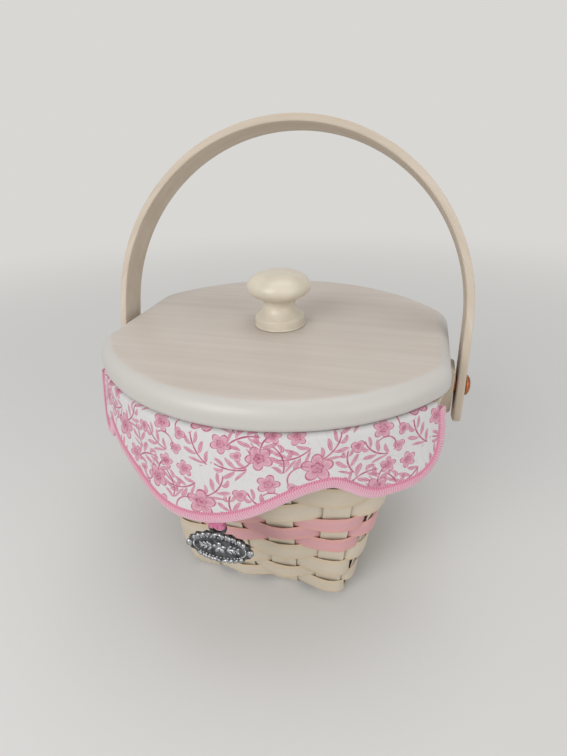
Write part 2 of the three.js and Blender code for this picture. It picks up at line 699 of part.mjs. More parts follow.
function addHandle() {
  const swing = new THREE.Group();
  swing.position.z = PIVOT_HEIGHT;
  swing.rotation.x = THREE.MathUtils.degToRad(-HANDLE_LEAN);
  basket.add(swing);
  piece("handle", handleGeometry(), BENT_ASH, swing);
}

// The handle side's stake line at a height, in X.
const wallX = (height) =>
  FOOT_HALF + ((RIM_HALF_WIDTH - FOOT_HALF) * (height - WALL_FOOT)) / (RIM_TOP - WALL_FOOT);

// A wedge-shaped ear that seats on the sloping rim and gives the handle an upright face.
function earGeometry() {
  const seat = (height) => {
    const beside = stakeAt(STAKES / 4 - 1, height).right.x;
    return Math.max(wallX(height), beside) + RIM_FACE + AIR;
  };
  const nose = EAR_TOE / 2;
  const profile = new THREE.Shape();
  profile.moveTo(seat(EAR_TOP), EAR_TOP);
  profile.lineTo(seat(RIM_LOW), RIM_LOW);
  profile.lineTo(EAR_FACE - EAR_TOE, EAR_FOOT + nose);
  profile.absarc(EAR_FACE - nose, EAR_FOOT + nose, nose, Math.PI, 2 * Math.PI);
  profile.lineTo(EAR_FACE, EAR_TOP - nose);
  profile.quadraticCurveTo(EAR_FACE, EAR_TOP, EAR_FACE - nose, EAR_TOP);
  const block = new THREE.ExtrudeGeometry(profile, {
    depth: EAR_WIDTH,
    bevelEnabled: false,
    curveSegments: 6,
  });
  block.rotateX(Math.PI / 2).translate(0, EAR_WIDTH / 2, 0);
  return cut(block, pivotBar(RIVET_RADIUS + PIVOT_AIR));
}

// Turns a profile of (radius, distance out from the middle) about the pivot's axis.
function pivotTurning(profile) {
  const points = profile.map(([radius, x]) => new THREE.Vector2(radius, x));
  return new THREE.LatheGeometry(points, 12).rotateZ(-Math.PI / 2).translate(0, 0, PIVOT_HEIGHT);
}

function washerGeometry() {
  const bore = RIVET_RADIUS + PIVOT_AIR;
  const outer = WASHER_INNER + WASHER_THICK;
  return pivotTurning([
    [bore, WASHER_INNER],
    [WASHER_RADIUS, WASHER_INNER],
    [WASHER_RADIUS, outer],
    [bore, outer],
    [bore, WASHER_INNER],
  ]);
}

// A domed copper rivet whose shank runs through leg, washer, ear and both rim bands.
function rivetGeometry() {
  const inner = wallX(PIVOT_HEIGHT) - RIM_FACE;
  const head = HANDLE_HALF_WIDTH + HANDLE_THICK + AIR;
  const dome = [0, 0.25, 0.5, 0.75, 1].map((share) => {
    const angle = (share * Math.PI) / 2;
    const rise = RIVET_EDGE + (RIVET_HEAD_HEIGHT - RIVET_EDGE) * Math.sin(angle);
    return [RIVET_HEAD_RADIUS * Math.cos(angle), head + rise];
  });
  dome.at(-1)[0] = 0;
  const shank = [
    [0, inner],
    [RIVET_RADIUS, inner],
    [RIVET_RADIUS, head],
    [RIVET_HEAD_RADIUS, head],
  ];
  return pivotTurning([...shank, ...dome]);
}

function addFittings() {
  for (const [turn, name] of ["right", "left"].entries()) {
    const side = new THREE.Group();
    side.rotation.z = turn * Math.PI;
    basket.add(side);
    piece(`handle_ear_${name}`, earGeometry(), BENT_ASH, side);
    piece(`washer_${name}`, washerGeometry(), COPPER, side);
    piece(`rivet_${name}`, rivetGeometry(), COPPER, side);
  }
}

// Charm

const HEM = skirtColumn(CHARM_X).at(-1);
const HEM_FOOT = HEM.point.z - AIR - EDGING_WIDTH;
const STRAND_GAP = CHARM_THICK + 2 * RIBBON_SLACK + RIBBON_THICK; // between the ribbon's two strands
const FRONT_STRAND = HEM.point.y + EDGING_THICK / 2 + AIR + RIBBON_THICK / 2;
const CHARM_Y = FRONT_STRAND + STRAND_GAP / 2;
const LOOP_FOOT = HEM_FOOT - RIBBON_DROP; // the ribbon's lowest point
const EYELET_Z = LOOP_FOOT + STRAND_GAP / 2 - EYELET_HOLE;

// A scalloped oval plate with an eyelet at its top.
function charmGeometry() {
  const outline = new THREE.Shape();
  const steps = 4 * CHARM_LOBES;
  const rim = Array.from({ length: steps }, (_, step) => {
    const angle = (step / steps) * 2 * Math.PI;
    const lobe = CHARM_LOBE_DEPTH * Math.cos(CHARM_LOBES * angle);
    return new THREE.Vector2(
      (CHARM_HALF_WIDTH + lobe) * Math.cos(angle),
      (CHARM_HALF_HEIGHT + lobe) * Math.sin(angle),
    );
  });
  outline.setFromPoints(rim);
  const flat = { depth: CHARM_THICK, bevelEnabled: false, curveSegments: 8 };
  const plate = new THREE.ExtrudeGeometry(outline, flat);
  const ring = new THREE.Shape().absarc(0, 0, EYELET_RADIUS, 0, 2 * Math.PI);
  ring.holes.push(new THREE.Path().absarc(0, 0, EYELET_HOLE, 0, 2 * Math.PI, true));
  const eyelet = new THREE.ExtrudeGeometry(ring, flat);
  const sink = EYELET_RADIUS - (EYELET_RADIUS - EYELET_HOLE) / 2;
  eyelet.translate(0, CHARM_HALF_HEIGHT + sink, 0);
  const charm = join(plate, eyelet);
  const top = EYELET_Z - CHARM_HALF_HEIGHT - sink;
  return charm.rotateX(Math.PI / 2).translate(CHARM_X, CHARM_Y + CHARM_THICK / 2, top);
}

// A folded ribbon: down behind the hem, through the eyelet and back up.
function ribbonGeometry() {
  const radius = STRAND_GAP / 2;
  const turn_z = LOOP_FOOT + radius;
  const top = HEM_FOOT + RIBBON_TUCK;
  const half_width = new THREE.Vector3(RIBBON_WIDTH / 2, 0, 0);
  const section = (y, z, facing) =>
    stripSection(new THREE.Vector3(CHARM_X, y, z), half_width, facing.multiplyScalar(RIBBON_THICK / 2));
  const sections = [section(CHARM_Y - radius, top, new THREE.Vector3(0, -1, 0))];
  const steps = 6;
  for (let step = 0; step <= steps; step++) {
    const angle = (step / steps) * Math.PI;
    const facing = new THREE.Vector3(0, -Math.cos(angle), -Math.sin(angle));
    const centre = facing.clone().multiplyScalar(radius);
    sections.push(section(CHARM_Y + centre.y, turn_z + centre.z, facing));
  }
  sections.push(section(CHARM_Y + radius, top, new THREE.Vector3(0, 1, 0)));
  return loft(sections);
}

function addCharm() {
  piece("charm", charmGeometry(), PEWTER);
  piece("charm_ribbon", ribbonGeometry(), SATIN_RIBBON);
}

// Assembly
addStakes();
addWeavers();
piece("inner_rim", rimGeometry(-1), WHITEWASHED_MAPLE);
piece("outer_rim", rimGeometry(1), WHITEWASHED_MAPLE);
piece("liner_bag", linerGeometry(), PRINTED_COTTON);
addSkirts();
addLid();
addHandle();
addFittings();
addCharm();

export default basket;
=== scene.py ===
"""Looks of a lidded splint basket: woven stakes and weavers, a lined rim with a scalloped skirt,
a board lid with a turned knob, a bentwood swing handle and a cast charm. Metres, +Z up, front at -Y."""

import math
from contextlib import contextmanager

import bpy
import numpy as np
from bpy.props import FloatProperty, FloatVectorProperty, IntProperty, PointerProperty
from mathutils import Matrix, Vector


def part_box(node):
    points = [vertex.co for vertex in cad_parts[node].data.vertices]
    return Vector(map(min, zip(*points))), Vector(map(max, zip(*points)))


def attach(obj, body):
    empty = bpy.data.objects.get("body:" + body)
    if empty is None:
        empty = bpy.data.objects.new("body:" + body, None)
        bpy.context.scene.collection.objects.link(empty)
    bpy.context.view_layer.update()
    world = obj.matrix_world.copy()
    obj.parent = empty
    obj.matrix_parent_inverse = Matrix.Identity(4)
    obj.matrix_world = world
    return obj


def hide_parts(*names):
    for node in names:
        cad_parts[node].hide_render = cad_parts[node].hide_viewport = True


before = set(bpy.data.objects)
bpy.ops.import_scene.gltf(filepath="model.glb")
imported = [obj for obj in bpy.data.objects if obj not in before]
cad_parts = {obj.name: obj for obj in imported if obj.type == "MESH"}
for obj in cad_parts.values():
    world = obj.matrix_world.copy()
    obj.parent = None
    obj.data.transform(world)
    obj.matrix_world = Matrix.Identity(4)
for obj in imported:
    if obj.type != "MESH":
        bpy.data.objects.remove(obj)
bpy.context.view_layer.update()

bl_info = {
    "name": "Lidded Splint Basket",
    "version": (1, 0, 0),
    "blender": (4, 5, 0),
    "location": "View3D > Sidebar > Basket",
    "description": "Dresses the packed splint basket with its weave, cloth, wood and metal",
    "category": "Object",
}

MM = 0.001
BOX = {node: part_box(node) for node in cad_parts}  # each CAD node's lowest and highest corner

WEAVER_LAP = 0.14  # share by which a weaver is wider than its solid
STRAY_RUN = 11 * MM  # length of one wander of a splint
CLOTH_CLEAR = 0.95 * MM  # outer rim's face to the middle of the hanging cloth
LIP = BOX["outer_rim"][1].x - BOX["liner_bag"][1].x + CLOTH_CLEAR  # width of cloth on top of the rim
LINER_GAP = 0.4 * MM  # the bag's cloth inside its solid
LINER_FLOOR = 0.22  # share of the bag's levels that spread over the floor
LINER_HOLE = 0.02  # the hole in the floor's middle, as a share of the floor, before it is closed
LINER_TOE = 2.4 * MM  # rise of the floor at the foot of the wall
CHARM_HALF_HEIGHT = 8.7 * MM  # half the plate, without its eyelet
FLOOR_RADIUS = 60
FLOOR_FADE = 0.2, 1.0  # where the floor starts to fade into the background, and where it has faded

# Motifs of the print in one repeat, in millimetres: middle, turn in radians, then their sizes
PRINT_BLOSSOMS = (
    ((-10, 5), 0.3, 6.4),
    ((-1.5, -4.5), 1.0, 4.4),
    ((13, -9), 0.8, 5.4),
    ((18, 0.5), 0.2, 3.6),
    ((-19, -4), 2.1, 2.9, 3),
    ((5.5, 12), 0.6, 3.0, 3),
    ((16, 17.5), 1.3, 4.6),
    ((27, 0), 0.5, 3.8),
    ((23, 8), 2.6, 2.8, 3),
    ((4.5, 29), 0.9, 2.4, 3),
)
PRINT_SPRIGS = (
    ((-18, 10), 1.9, 7, 0.04),
    ((-3, 13), -0.6, 7, -0.04),
    ((-12, -9), 0.5, 7.5, 0.03),
    ((6.5, -1), -1.2, 7, 0.04),
    ((21.5, -9), 0.3, 6.5, -0.05),
    ((12, 8), 0.9, 6.5, 0.05),
    ((2, -15), 1.5, 6.5, 0.03),
    ((1.5, 5.5), 0.2, 5.5, 0.05),
    ((14.5, 35.5), -0.5, 4.5, 0.06),
)
PRINT_TENDRILS = (
    ((-15, 0), 2.4, 6, 1.4),
    ((5, -9), -0.6, 5, 1.5),
    ((17, 9), 0.9, 4.5, 1.6),
)

# Radius and height of the turned knob, in millimetres, from its foot to the top of its cap
KNOB_PROFILE = np.array(
    [(2.3, 0), (12, 0), (12.5, 0.5), (12.5, 3.9), (12.1, 4.7), (10.6, 5.9), (9, 7.7), (8.1, 9.8)]
    + [(8.1, 11.6), (9.1, 13.4), (11.4, 14.9), (14.1, 16.4), (15.6, 18.1), (16, 19.8), (15.6, 21.6)]
    + [(14.2, 23.6), (11.6, 25.4), (8, 26.5), (4, 26.95), (0, 27)]
)


def linear(hex_colour):
    """An sRGB hex colour as linear red, green, blue and alpha."""
    parts = [int(hex_colour[i : i + 2], 16) / 255 for i in (1, 3, 5)]
    return [c / 12.92 if c <= 0.04045 else ((c + 0.055) / 1.055) ** 2.4 for c in parts] + [1.0]


def length(name, millimetres, description):
    """A length property with its default in millimetres."""
    return FloatProperty(
        name=name, description=description, default=millimetres * MM, unit="LENGTH", precision=4
    )


def colour(name, hex_colour, description):
    """A colour property with its default as an sRGB hex value."""
    return FloatVectorProperty(
        name=name, description=description, size=4, subtype="COLOR", default=linear(hex_colour), min=0, max=1
    )


class BasketSizes(bpy.types.PropertyGroup):
    """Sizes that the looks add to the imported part."""

    splint_edge: length("Splint edge", 0.22, "Rounding along the edges of stakes and weavers")
    splint_stray: length("Splint stray", 0.9, "How far hand-woven splints wander from their line")
    rim_bow: length("Rim bow", 93, "Radius of the bowed front and back of the rim, at the stakes")
    rim_corner: length("Rim corner", 12, "Radius of the rim's corners, at the stakes")
    rim_face: length("Rim face", 3.9, "Middle of the stakes to a rim band's outer face")
    lid_overhang: length("Lid overhang", 5, "The lid's edge past the middle of the stakes")
    lid_round: length("Lid round", 7, "Rounding of the lid's upper edge")
    lid_ease: length("Lid ease", 3.5, "Rounding of the lid's lower edge")
    liner_foot: length("Liner foot", 38.4, "Half the width of the liner's floor")
    skirt_drop: length("Skirt drop", 38.7, "Rim to the lowest point of the middle scallop")
    notch_drop: length("Notch drop", 18.8, "Rim to the notches beside the middle scallop")
    side_drop: length("Side drop", 28.4, "Rim to the side scallops")
    end_drop: length("End drop", 3, "Rim to the skirt's edge beside the handle")
    notch_reach: length("Notch reach", 55.5, "Along the rim from the middle scallop to a notch")
    skirt_shift: length("Skirt shift", -16.5, "Along the rim from the basket's middle to the middle scallop")
    slit_half: length("Slit half", 39.5, "Half the skirt's opening at each handle")
    skirt_flare: length("Skirt flare", 5.5, "How far the hem stands out past the rim")
    skirt_ripple: length("Skirt ripple", 0.9, "How far the hem waves in and out")
    fold_round: length("Fold round", 1.6, "Rounding of the cloth over the rim")
    cloth_thick: length("Cloth thickness", 0.6, "Thickness of the liner's cotton")
    edging_width: length("Edging width", 5.6, "Width of the overlocked edging")
    edging_thick: length("Edging thickness", 2.8, "Thickness of the overlocked edging")
    stitch_pitch: length("Stitch pitch", 1.05, "Distance between stitches of the edging")
    print_width: length("Print repeat", 44, "Width of the print's repeat")
    print_height: length("Print drop", 38, "Height of the print's repeat")
    turning_steps: IntProperty(name="Turning steps", description="Facets round a turned piece", default=72)


class BasketColours(bpy.types.PropertyGroup):
    """Colours of the finishes."""

    splint: colour("Splint", "#CCC1B0", "Whitewashed maple splint")
    splint_grain: colour("Splint grain", "#B9A88C", "Grain that shows through the whitewash")
    # The two edge colours below are partly thinner wash or stain at a weaver's edges and partly a painted
    # highlight on those edges
    splint_edge: colour("Splint edge", "#CBB595", "Bare maple towards a weaver's edges")
    pink_edge_and_highlight: colour("Pink edge and highlight", "#D6A08F", "Thinner stain towards a weaver's edges")
    pink: colour("Pink splint", "#D3A1A3", "Stained accent rows")
    pink_grain: colour("Pink grain", "#BD878A", "Grain of the stained rows")
    handle: colour("Handle", "#CCBFAF", "Pale bentwood")
    handle_grain: colour("Handle grain", "#B8A893", "Grain of the bentwood")
    lid: colour("Lid", "#C8BEB4", "Whitewashed board")
    lid_grain: colour("Lid grain", "#B3A79B", "Grain of the board")
    lid_edge: colour("Lid edge", "#C2BFBA", "Thicker wash on the board's rounded edge")
    knob: colour("Knob", "#D6CCB9", "Ivory paint")
    cotton: colour("Cotton", "#D0CFCE", "Ground of the printed cloth")
    print_pale: colour("Pale print", "#D1A0AE", "Petals and leaves of the print")
    print_deep: colour("Deep print", "#A34D6A", "Outlines of the print")
    thread: colour("Thread", "#DFB8C4", "Rolled outer side of the overlocked edging")
    thread_painted_shade: colour("Thread painted shade", "#CB8399", "Inner side of the edging and between its stitches")
    # Painted shade in the grooves between stitches and along the bead's inner side against the cloth
    needle_thread: colour("Needle thread", "#B44A6E", "Thread that holds the edging to the cloth")
    ribbon: colour("Ribbon", "#D27B9E", "Narrow satin ribbon")
    copper: colour("Copper", "#C07A50", "Rivets and washers")
    copper_worn: colour("Worn copper", "#8C4B30", "Duller patches of the copper")
    steel: colour("Steel", "#AEB0B0", "The knob's screw")
    pewter: colour("Pewter", "#C2C3C5", "Raised parts of the charm")
    pewter_worn: colour("Worn pewter", "#77797C", "Duller patches of the charm")
    pewter_dark: colour("Dark pewter", "#3B3C3E", "Blackened ground of the charm")
    floor: colour("Floor", "#D8D7D4", "Plain pale studio floor")
    sky: colour("Sky", "#F2F3F5", "Even light from all round")


# Materials


def add(tree, kind, inputs=(), out=0, **settings):
    """Adds a node with its settings, sets or links its inputs, and gives one of its outputs.

    Inputs are named, or listed in the order of the node's sockets: a MapRange's are its value, the range
    that it comes from and the range that it goes to."""
    made = tree.nodes.new("ShaderNode" + kind)
    for name, value in settings.items():
        setattr(made, name, value)
    for socket, value in inputs.items() if isinstance(inputs, dict) else enumerate(inputs):
        if isinstance(value, bpy.types.NodeSocket):
            tree.links.new(value, made.inputs[socket])
        else:
            made.inputs[socket].default_value = value
    return made.outputs[out]


def new_material(name, values):
    """A material with the given values on its shader's sockets, and its node tree."""
    made = bpy.data.materials.new(name)
    made.use_nodes = True
    shader = made.node_tree.nodes["Principled BSDF"]
    for socket, value in values.items():
        shader.inputs[socket].default_value = value
    return made, made.node_tree


def wired(made, sources):
    """Links sources to the sockets of a material's shader, and gives the material."""
    tree = made.node_tree
    for socket, source in sources.items():
        tree.links.new(source, tree.nodes["Principled BSDF"].inputs[socket])
    return made


def darker(shade, share):
    """A colour with only a share of its light."""
    return [c * share for c in shade[:3]] + [1]


def apart(tree, value, middle):
    """How far a value is from a middle, whichever way."""
    off = add(tree, "Math", [value, middle], operation="SUBTRACT")
    return add(tree, "Math", [off], operation="ABSOLUTE")


def band(tree, value, middle, half, strength=1.0):
    """A strength where a value is at the middle, falling to 0 at half its width away."""
    off = apart(tree, value, middle)
    return add(tree, "MapRange", [off, half * 0.45, half, strength, 0])


def strongest(tree, tones):
    """The strongest of several tones."""
    best = tones[0]
    for tone in tones[1:]:
        best = add(tree, "Math", [best, tone], operation="MAXIMUM")
    return best


def grained_wood(
    name,
    colours,
    stretch,
    roughness,
    contrast=0.5,
    pore=0.6 * MM,
    figure=9 * MM,
    wash=None,
    edge=None,
    bend=None,
):
    """Whitewashed wood: long fibres that run where stretch is small, under a thin matt wash.

    A wash is a colour that thickens from one height down to another. An edge is the colour towards the two
    edges of a splint: partly thinner wash or stain there, and partly a painted highlight on those edges.
    A bend names the attribute that holds each point's place in the straight strip, before it was bent.
    Pores are drawn a few times as wide as real ones, so that they show."""
    pale, dark = colours
    made, tree = new_material(name, {"IOR": 1.5})
    if bend:
        place = add(tree, "Attribute", out="Vector", attribute_name=bend)
    else:
        place = add(tree, "TexCoord", out="Object")
    along = add(tree, "Mapping", {"Vector": place, "Scale": stretch})
    fibres = add(tree, "TexNoise", {"Vector": along, "Scale": 1 / pore, "Detail": 3, "Roughness": 0.6})
    curl = {"Vector": along, "Scale": 1 / figure, "Detail": 2, "Roughness": 0.5, "Distortion": 0.4}
    bands = add(tree, "TexNoise", curl)
    blotch = add(tree, "TexNoise", {"Vector": place, "Scale": 1 / (22 * MM), "Detail": 2})
    tone = add(tree, "Math", [fibres, 0.3], operation="MULTIPLY")
    tone = add(tree, "Math", [bands, 0.6, tone], operation="MULTIPLY_ADD")
    tone = add(tree, "Math", [blotch, 0.3, tone], operation="MULTIPLY_ADD")
    worn = add(tree, "MapRange", [tone, 0.45, 0.78, 0, contrast])
    shade = add(tree, "MixRGB", [worn, pale, dark])
    if wash:
        paint, thick, thin = wash
        height = add(tree, "SeparateXYZ", {"Vector": place}, out="Z")
        fade = [height, thick, thin, 0.85, 0]
        cover = add(tree, "MapRange", fade, interpolation_type="SMOOTHSTEP")
        shade = add(tree, "MixRGB", [cover, shade, paint])
    # Towards both edges of a weaver: partly thinner wash or stain, partly a painted highlight
    if edge:
        off = apart(tree, add(tree, "Attribute", out="Fac", attribute_name="across"), 0.5)
        bare_and_highlit_edge = add(tree, "MapRange", [off, 0.22, 0.5, 0, 0.7])
        shade = add(tree, "MixRGB", [bare_and_highlit_edge, shade, edge])
    rough = add(tree, "MapRange", [bands, 0, 1, roughness - 0.08, roughness + 0.1])
    bump = add(tree, "Bump", {"Height": fibres, "Strength": 0.2, "Distance": 0.12 * MM})
    return wired(made, {"Base Color": shade, "Roughness": rough, "Normal": bump})


def painted_wood(name, paint):
    """Satin ivory paint on turned wood: faint brush rings and a soft gloss."""
    made, tree = new_material(name, {"Roughness": 0.34, "IOR": 1.5})
    place = add(tree, "TexCoord", out="Object")
    rings = add(tree, "Mapping", {"Vector": place, "Scale": (0.15, 0.15, 1)})
    brush = add(tree, "TexNoise", {"Vector": rings, "Scale": 1 / (0.8 * MM), "Detail": 2})
    cloud = add(tree, "TexNoise", {"Vector": place, "Scale": 1 / (9 * MM), "Detail": 3})
    fade = add(tree, "MapRange", [cloud, 0.35, 0.75])
    shade = add(tree, "MixRGB", [fade, paint, darker(paint, 0.86)])
    bump = add(tree, "Bump", {"Height": brush, "Strength": 0.12, "Distance": 0.08 * MM})
    return wired(made, {"Base Color": shade, "Normal": bump})


def worn_metal(name, bright, dull, roughness, grit):
    """Bare metal with handling marks: dull patches and fine pits."""
    made, tree = new_material(name, {"Metallic": 1.0})
    place = add(tree, "TexCoord", out="Object")
    patch = add(tree, "TexNoise", {"Vector": place, "Scale": 1 / (4 * grit), "Detail": 4})
    fade = add(tree, "MapRange", [patch, 0.35, 0.7])
    shade = add(tree, "MixRGB", [fade, bright, dull])
    rough = add(tree, "MapRange", [patch, 0, 1, roughness - 0.08, roughness + 0.15])
    pits = add(tree, "TexNoise", {"Vector": place, "Scale": 1 / grit, "Detail": 3})
    bump = add(tree, "Bump", {"Height": pits, "Strength": 0.3, "Distance": 0.1 * MM})
    return wired(made, {"Base Color": shade, "Roughness": rough, "Normal": bump})


def motif_place(tree, flat, middle, angle, repeat):
    """Cloth coordinates about the nearest copy of a motif; every second column is dropped by half."""
    width, height = repeat
    off = add(tree, "VectorMath", [flat, (*middle, 0)], operation="SUBTRACT")
    split = add(tree, "SeparateXYZ", {"Vector": off}).node
    column = add(tree, "Math", [split.outputs["X"], width], operation="DIVIDE")
    column = add(tree, "Math", [column], operation="ROUND")
    x = add(tree, "Math", [column, -width, split.outputs["X"]], operation="MULTIPLY_ADD")
    y = add(tree, "Math", [column, height / 2, split.outputs["Y"]], operation="MULTIPLY_ADD")
    row = add(tree, "Math", [y, height], operation="DIVIDE")
    row = add(tree, "Math", [row], operation="ROUND")
    y = add(tree, "Math", [row, -height, y], operation="MULTIPLY_ADD")
    here = add(tree, "CombineXYZ", {"X": x, "Y": y})
    here = add(tree, "VectorRotate", {"Vector": here, "Angle": -angle}, rotation_type="Z_AXIS")
    split = add(tree, "SeparateXYZ", {"Vector": here}).node
    return split.outputs["X"], split.outputs["Y"], here


def motif_round(tree, *where):
    """Distance and direction from the nearest copy of a motif."""
    x, y, here = motif_place(tree, *where)
    reach = add(tree, "VectorMath", [here], out="Value", operation="LENGTH")
    return reach, add(tree, "Math", [y, x], operation="ARCTAN2")


def blossom(tree, flat, repeat, middle, angle, radius, petals=5):
    """A printed flower: petals that deepen towards the eye, with fine outlines and creases."""
    reach, turn = motif_round(tree, flat, middle, angle, repeat)
    lobe = add(tree, "Math", [turn, petals / 2], operation="MULTIPLY")
    lobe = add(tree, "Math", [lobe], operation="COSINE")
    lobe = add(tree, "Math", [lobe], operation="ABSOLUTE")
    edge = add(tree, "Math", [lobe, 0.4 * radius, 0.6 * radius], operation="MULTIPLY_ADD")
    share = add(tree, "Math", [reach, edge], operation="DIVIDE")
    inside = add(tree, "MapRange", [share, 0.97, 1.03, 1, 0])
    crease = add(tree, "MapRange", [lobe, 0.04, 0.3, 0.75, 0])
    fill = add(tree, "MapRange", [share, 0.1, 0.95, 0.7, 0.2])
    rings = ((0.95, 0.1, 0.85), (0.36, 0.08, 0.9), (0, 0.2, 1))  # place, half width and strength
    tones = [fill, crease, *(band(tree, share, *ring) for ring in rings)]
    return add(tree, "Math", [strongest(tree, tones), inside], operation="MULTIPLY")


def sprig(tree, flat, repeat, middle, angle, half, bend):
    """A printed leaf spray: paired pointed leaves down a bent stem, smaller towards the tips."""
    step, leaf_half, leaf_wide = 4.4, 2.4, 1.15
    x, y, _ = motif_place(tree, flat, middle, angle, repeat)
    yy = add(tree, "Math", [y, y], operation="MULTIPLY")
    x = add(tree, "Math", [yy, -bend, x], operation="MULTIPLY_ADD")
    taper = add(tree, "MapRange", [yy, 0, half**2, 1, 0.5])
    across = add(tree, "Math", [x], operation="ABSOLUTE")
    across = add(tree, "Math", [across, taper], operation="DIVIDE")
    slant = add(tree, "Math", [across, -0.85, y], operation="MULTIPLY_ADD")
    cell = add(tree, "Math", [slant, step, 0], operation="WRAP")
    cell = apart(tree, cell, step / 2)
    far = add(tree, "Math", [across, 1 / leaf_half, -1.15], operation="MULTIPLY_ADD")
    far = add(tree, "Math", [far, far], operation="MULTIPLY")
    room = add(tree, "Math", [far, -leaf_wide, leaf_wide], operation="MULTIPLY_ADD")
    room = add(tree, "Math", [room, 0.02], operation="MAXIMUM")
    leaf = add(tree, "Math", [cell, room], operation="DIVIDE")
    fill = add(tree, "MapRange", [leaf, 0.9, 1.08, 0.35, 0])
    vein = add(tree, "MapRange", [leaf, 0.12, 0.3, 0.8, 0])
    tones = [fill, vein, band(tree, leaf, 0.88, 0.26, 0.75), band(tree, x, 0, 0.45, 0.9)]
    ends = add(tree, "Math", [y], operation="ABSOLUTE")
    ends = add(tree, "MapRange", [ends, half - 0.6, half, 1, 0])
    return add(tree, "Math", [strongest(tree, tones), ends], operation="MULTIPLY")


def tendril(tree, flat, repeat, middle, angle, radius, spread):
    """A printed tendril: a thin arc of a circle, open on one side."""
    reach, turn = motif_round(tree, flat, middle, angle, repeat)
    turn = add(tree, "Math", [turn], operation="ABSOLUTE")
    kept = add(tree, "MapRange", [turn, spread - 0.3, spread, 1, 0])
    line = band(tree, reach, radius, 0.42, 0.75)
    return add(tree, "Math", [line, kept], operation="MULTIPLY")


def printed_cotton(sizes, colours):
    """Plain-woven cotton printed with blossoms, leaf sprays and tendrils in tones of rose."""
    made, tree = new_material("printed cotton", {"Roughness": 0.88, "IOR": 1.45, "Sheen Weight": 0.1})
    cloth = add(tree, "UVMap", uv_map="cloth")
    flat = add(tree, "VectorMath", {0: cloth, "Scale": 1 / MM}, operation="SCALE")
    repeat = sizes.print_width / MM, sizes.print_height / MM
    motifs = [blossom(tree, flat, repeat, *motif) for motif in PRINT_BLOSSOMS]
    motifs += [sprig(tree, flat, repeat, *motif) for motif in PRINT_SPRIGS]
    motifs += [tendril(tree, flat, repeat, *motif) for motif in PRINT_TENDRILS]
    ink = strongest(tree, motifs)
    grain = add(tree, "TexNoise", {"Vector": cloth, "Scale": 1 / (2.2 * MM), "Detail": 3})
    patchy = add(tree, "MapRange", [grain, 0.3, 0.7, 0.6, 1.1])
    ink = add(tree, "Math", [ink, patchy], operation="MULTIPLY")
    tint = add(tree, "ValToRGB", {"Fac": ink})
    stops = tint.node.color_ramp.elements
    stops[0].color, stops[1].color = colours.cotton, colours.print_deep
    stops[1].position = 0.9
    stops.new(0.25).color = colours.print_pale
    # Threads are drawn about three times as coarse as real ones, so that they show
    weave = add(tree, "TexVoronoi", {"Vector": cloth, "Scale": 1 / (0.9 * MM), "Randomness": 0.15})
    bump = add(tree, "Bump", {"Height": weave, "Strength": 0.25, "Distance": 0.12 * MM})
    return wired(made, {"Base Color": tint, "Normal": bump})


def overlock_thread(name, pale, shaded, deep):
    """Packed rayon stitches: bright ridges, painted shade in the grooves and along the bead's inner side,
    and dots where the needle thread shows.
    """
    made, tree = new_material(name, {"Roughness": 0.55, "IOR": 1.45, "Sheen Weight": 0.2})
    stitch = add(tree, "UVMap", uv_map="cloth")
    split = add(tree, "SeparateXYZ", {"Vector": stitch}).node
    ridge = add(tree, "Math", [split.outputs["X"], 2 * math.pi], operation="MULTIPLY")
    ridge = add(tree, "Math", [ridge], operation="COSINE")
    # Painted shade in the grooves between stitches
    painted_groove_shade = add(tree, "MapRange", [ridge, -1, 0.3, 0.6, 0])
    round_side = apart(tree, split.outputs["Y"], 0.5)
    # Painted shade along the bead's inner side, where it meets the cloth
    inner = add(tree, "MapRange", [round_side, 0.12, 0.34, 0.5, 0])
    shade = add(tree, "Math", [painted_groove_shade, inner], operation="ADD")
    place = add(tree, "TexCoord", out="Object")
    fuzz = add(tree, "TexNoise", {"Vector": place, "Scale": 1 / (0.7 * MM), "Detail": 3})
    shade = add(tree, "Math", [fuzz, 0.3, shade], operation="MULTIPLY_ADD")
    shade = add(tree, "Math", [shade, 0.12], operation="SUBTRACT", use_clamp=True)
    dyed_and_shaded = add(tree, "MixRGB", [shade, pale, shaded])
    needle = band(tree, round_side, 0.09, 0.06)
    dots = add(tree, "MapRange", [ridge, 0.2, 0.6, 0, 0.9])
    dots = add(tree, "Math", [dots, needle], operation="MULTIPLY")
    dyed_and_shaded = add(tree, "MixRGB", [dots, dyed_and_shaded, deep])
    bump = add(tree, "Bump", {"Height": fuzz, "Strength": 0.3, "Distance": 0.15 * MM})
    return wired(made, {"Base Color": dyed_and_shaded, "Normal": bump})


def satin_ribbon(name, dye):
    """Narrow satin: fine cross ribs and a soft sheen."""
    made, tree = new_material(name, {"Roughness": 0.45, "IOR": 1.45})
    place = add(tree, "TexCoord", out="Object")
    # This scale puts ribs about 0.6 mm apart, coarser than real ones, so that they show
    ribs = {"Vector": place, "Scale": 1 / (2 * MM), "Distortion": 0.6}
    ribs = add(tree, "TexWave", ribs, bands_direction="Z")
    shade = add(tree, "MixRGB", [ribs, darker(dye, 0.7), dye])
    bump = add(tree, "Bump", {"Height": ribs, "Strength": 0.25, "Distance": 0.1 * MM})
    return wired(made, {"Base Color": shade, "Normal": bump})


# Modelling helpers


def through(corners, steps):
    """A smooth line through corners, with so many steps from one to the next."""
    line = []
    padded = [2 * corners[0] - corners[1], *corners, 2 * corners[-1] - corners[-2]]
    for before, start, end, after in zip(padded, padded[1:], padded[2:], padded[3:]):
        for step in range(steps):
            t = step / steps
            line.append(
                0.5 * (2 * start + (end - before) * t + (2 * before - 5 * start + 4 * end - after) * t**2)
                + 0.5 * (3 * start - before - 3 * end + after) * t**3
            )
    return [*line, corners[-1]]


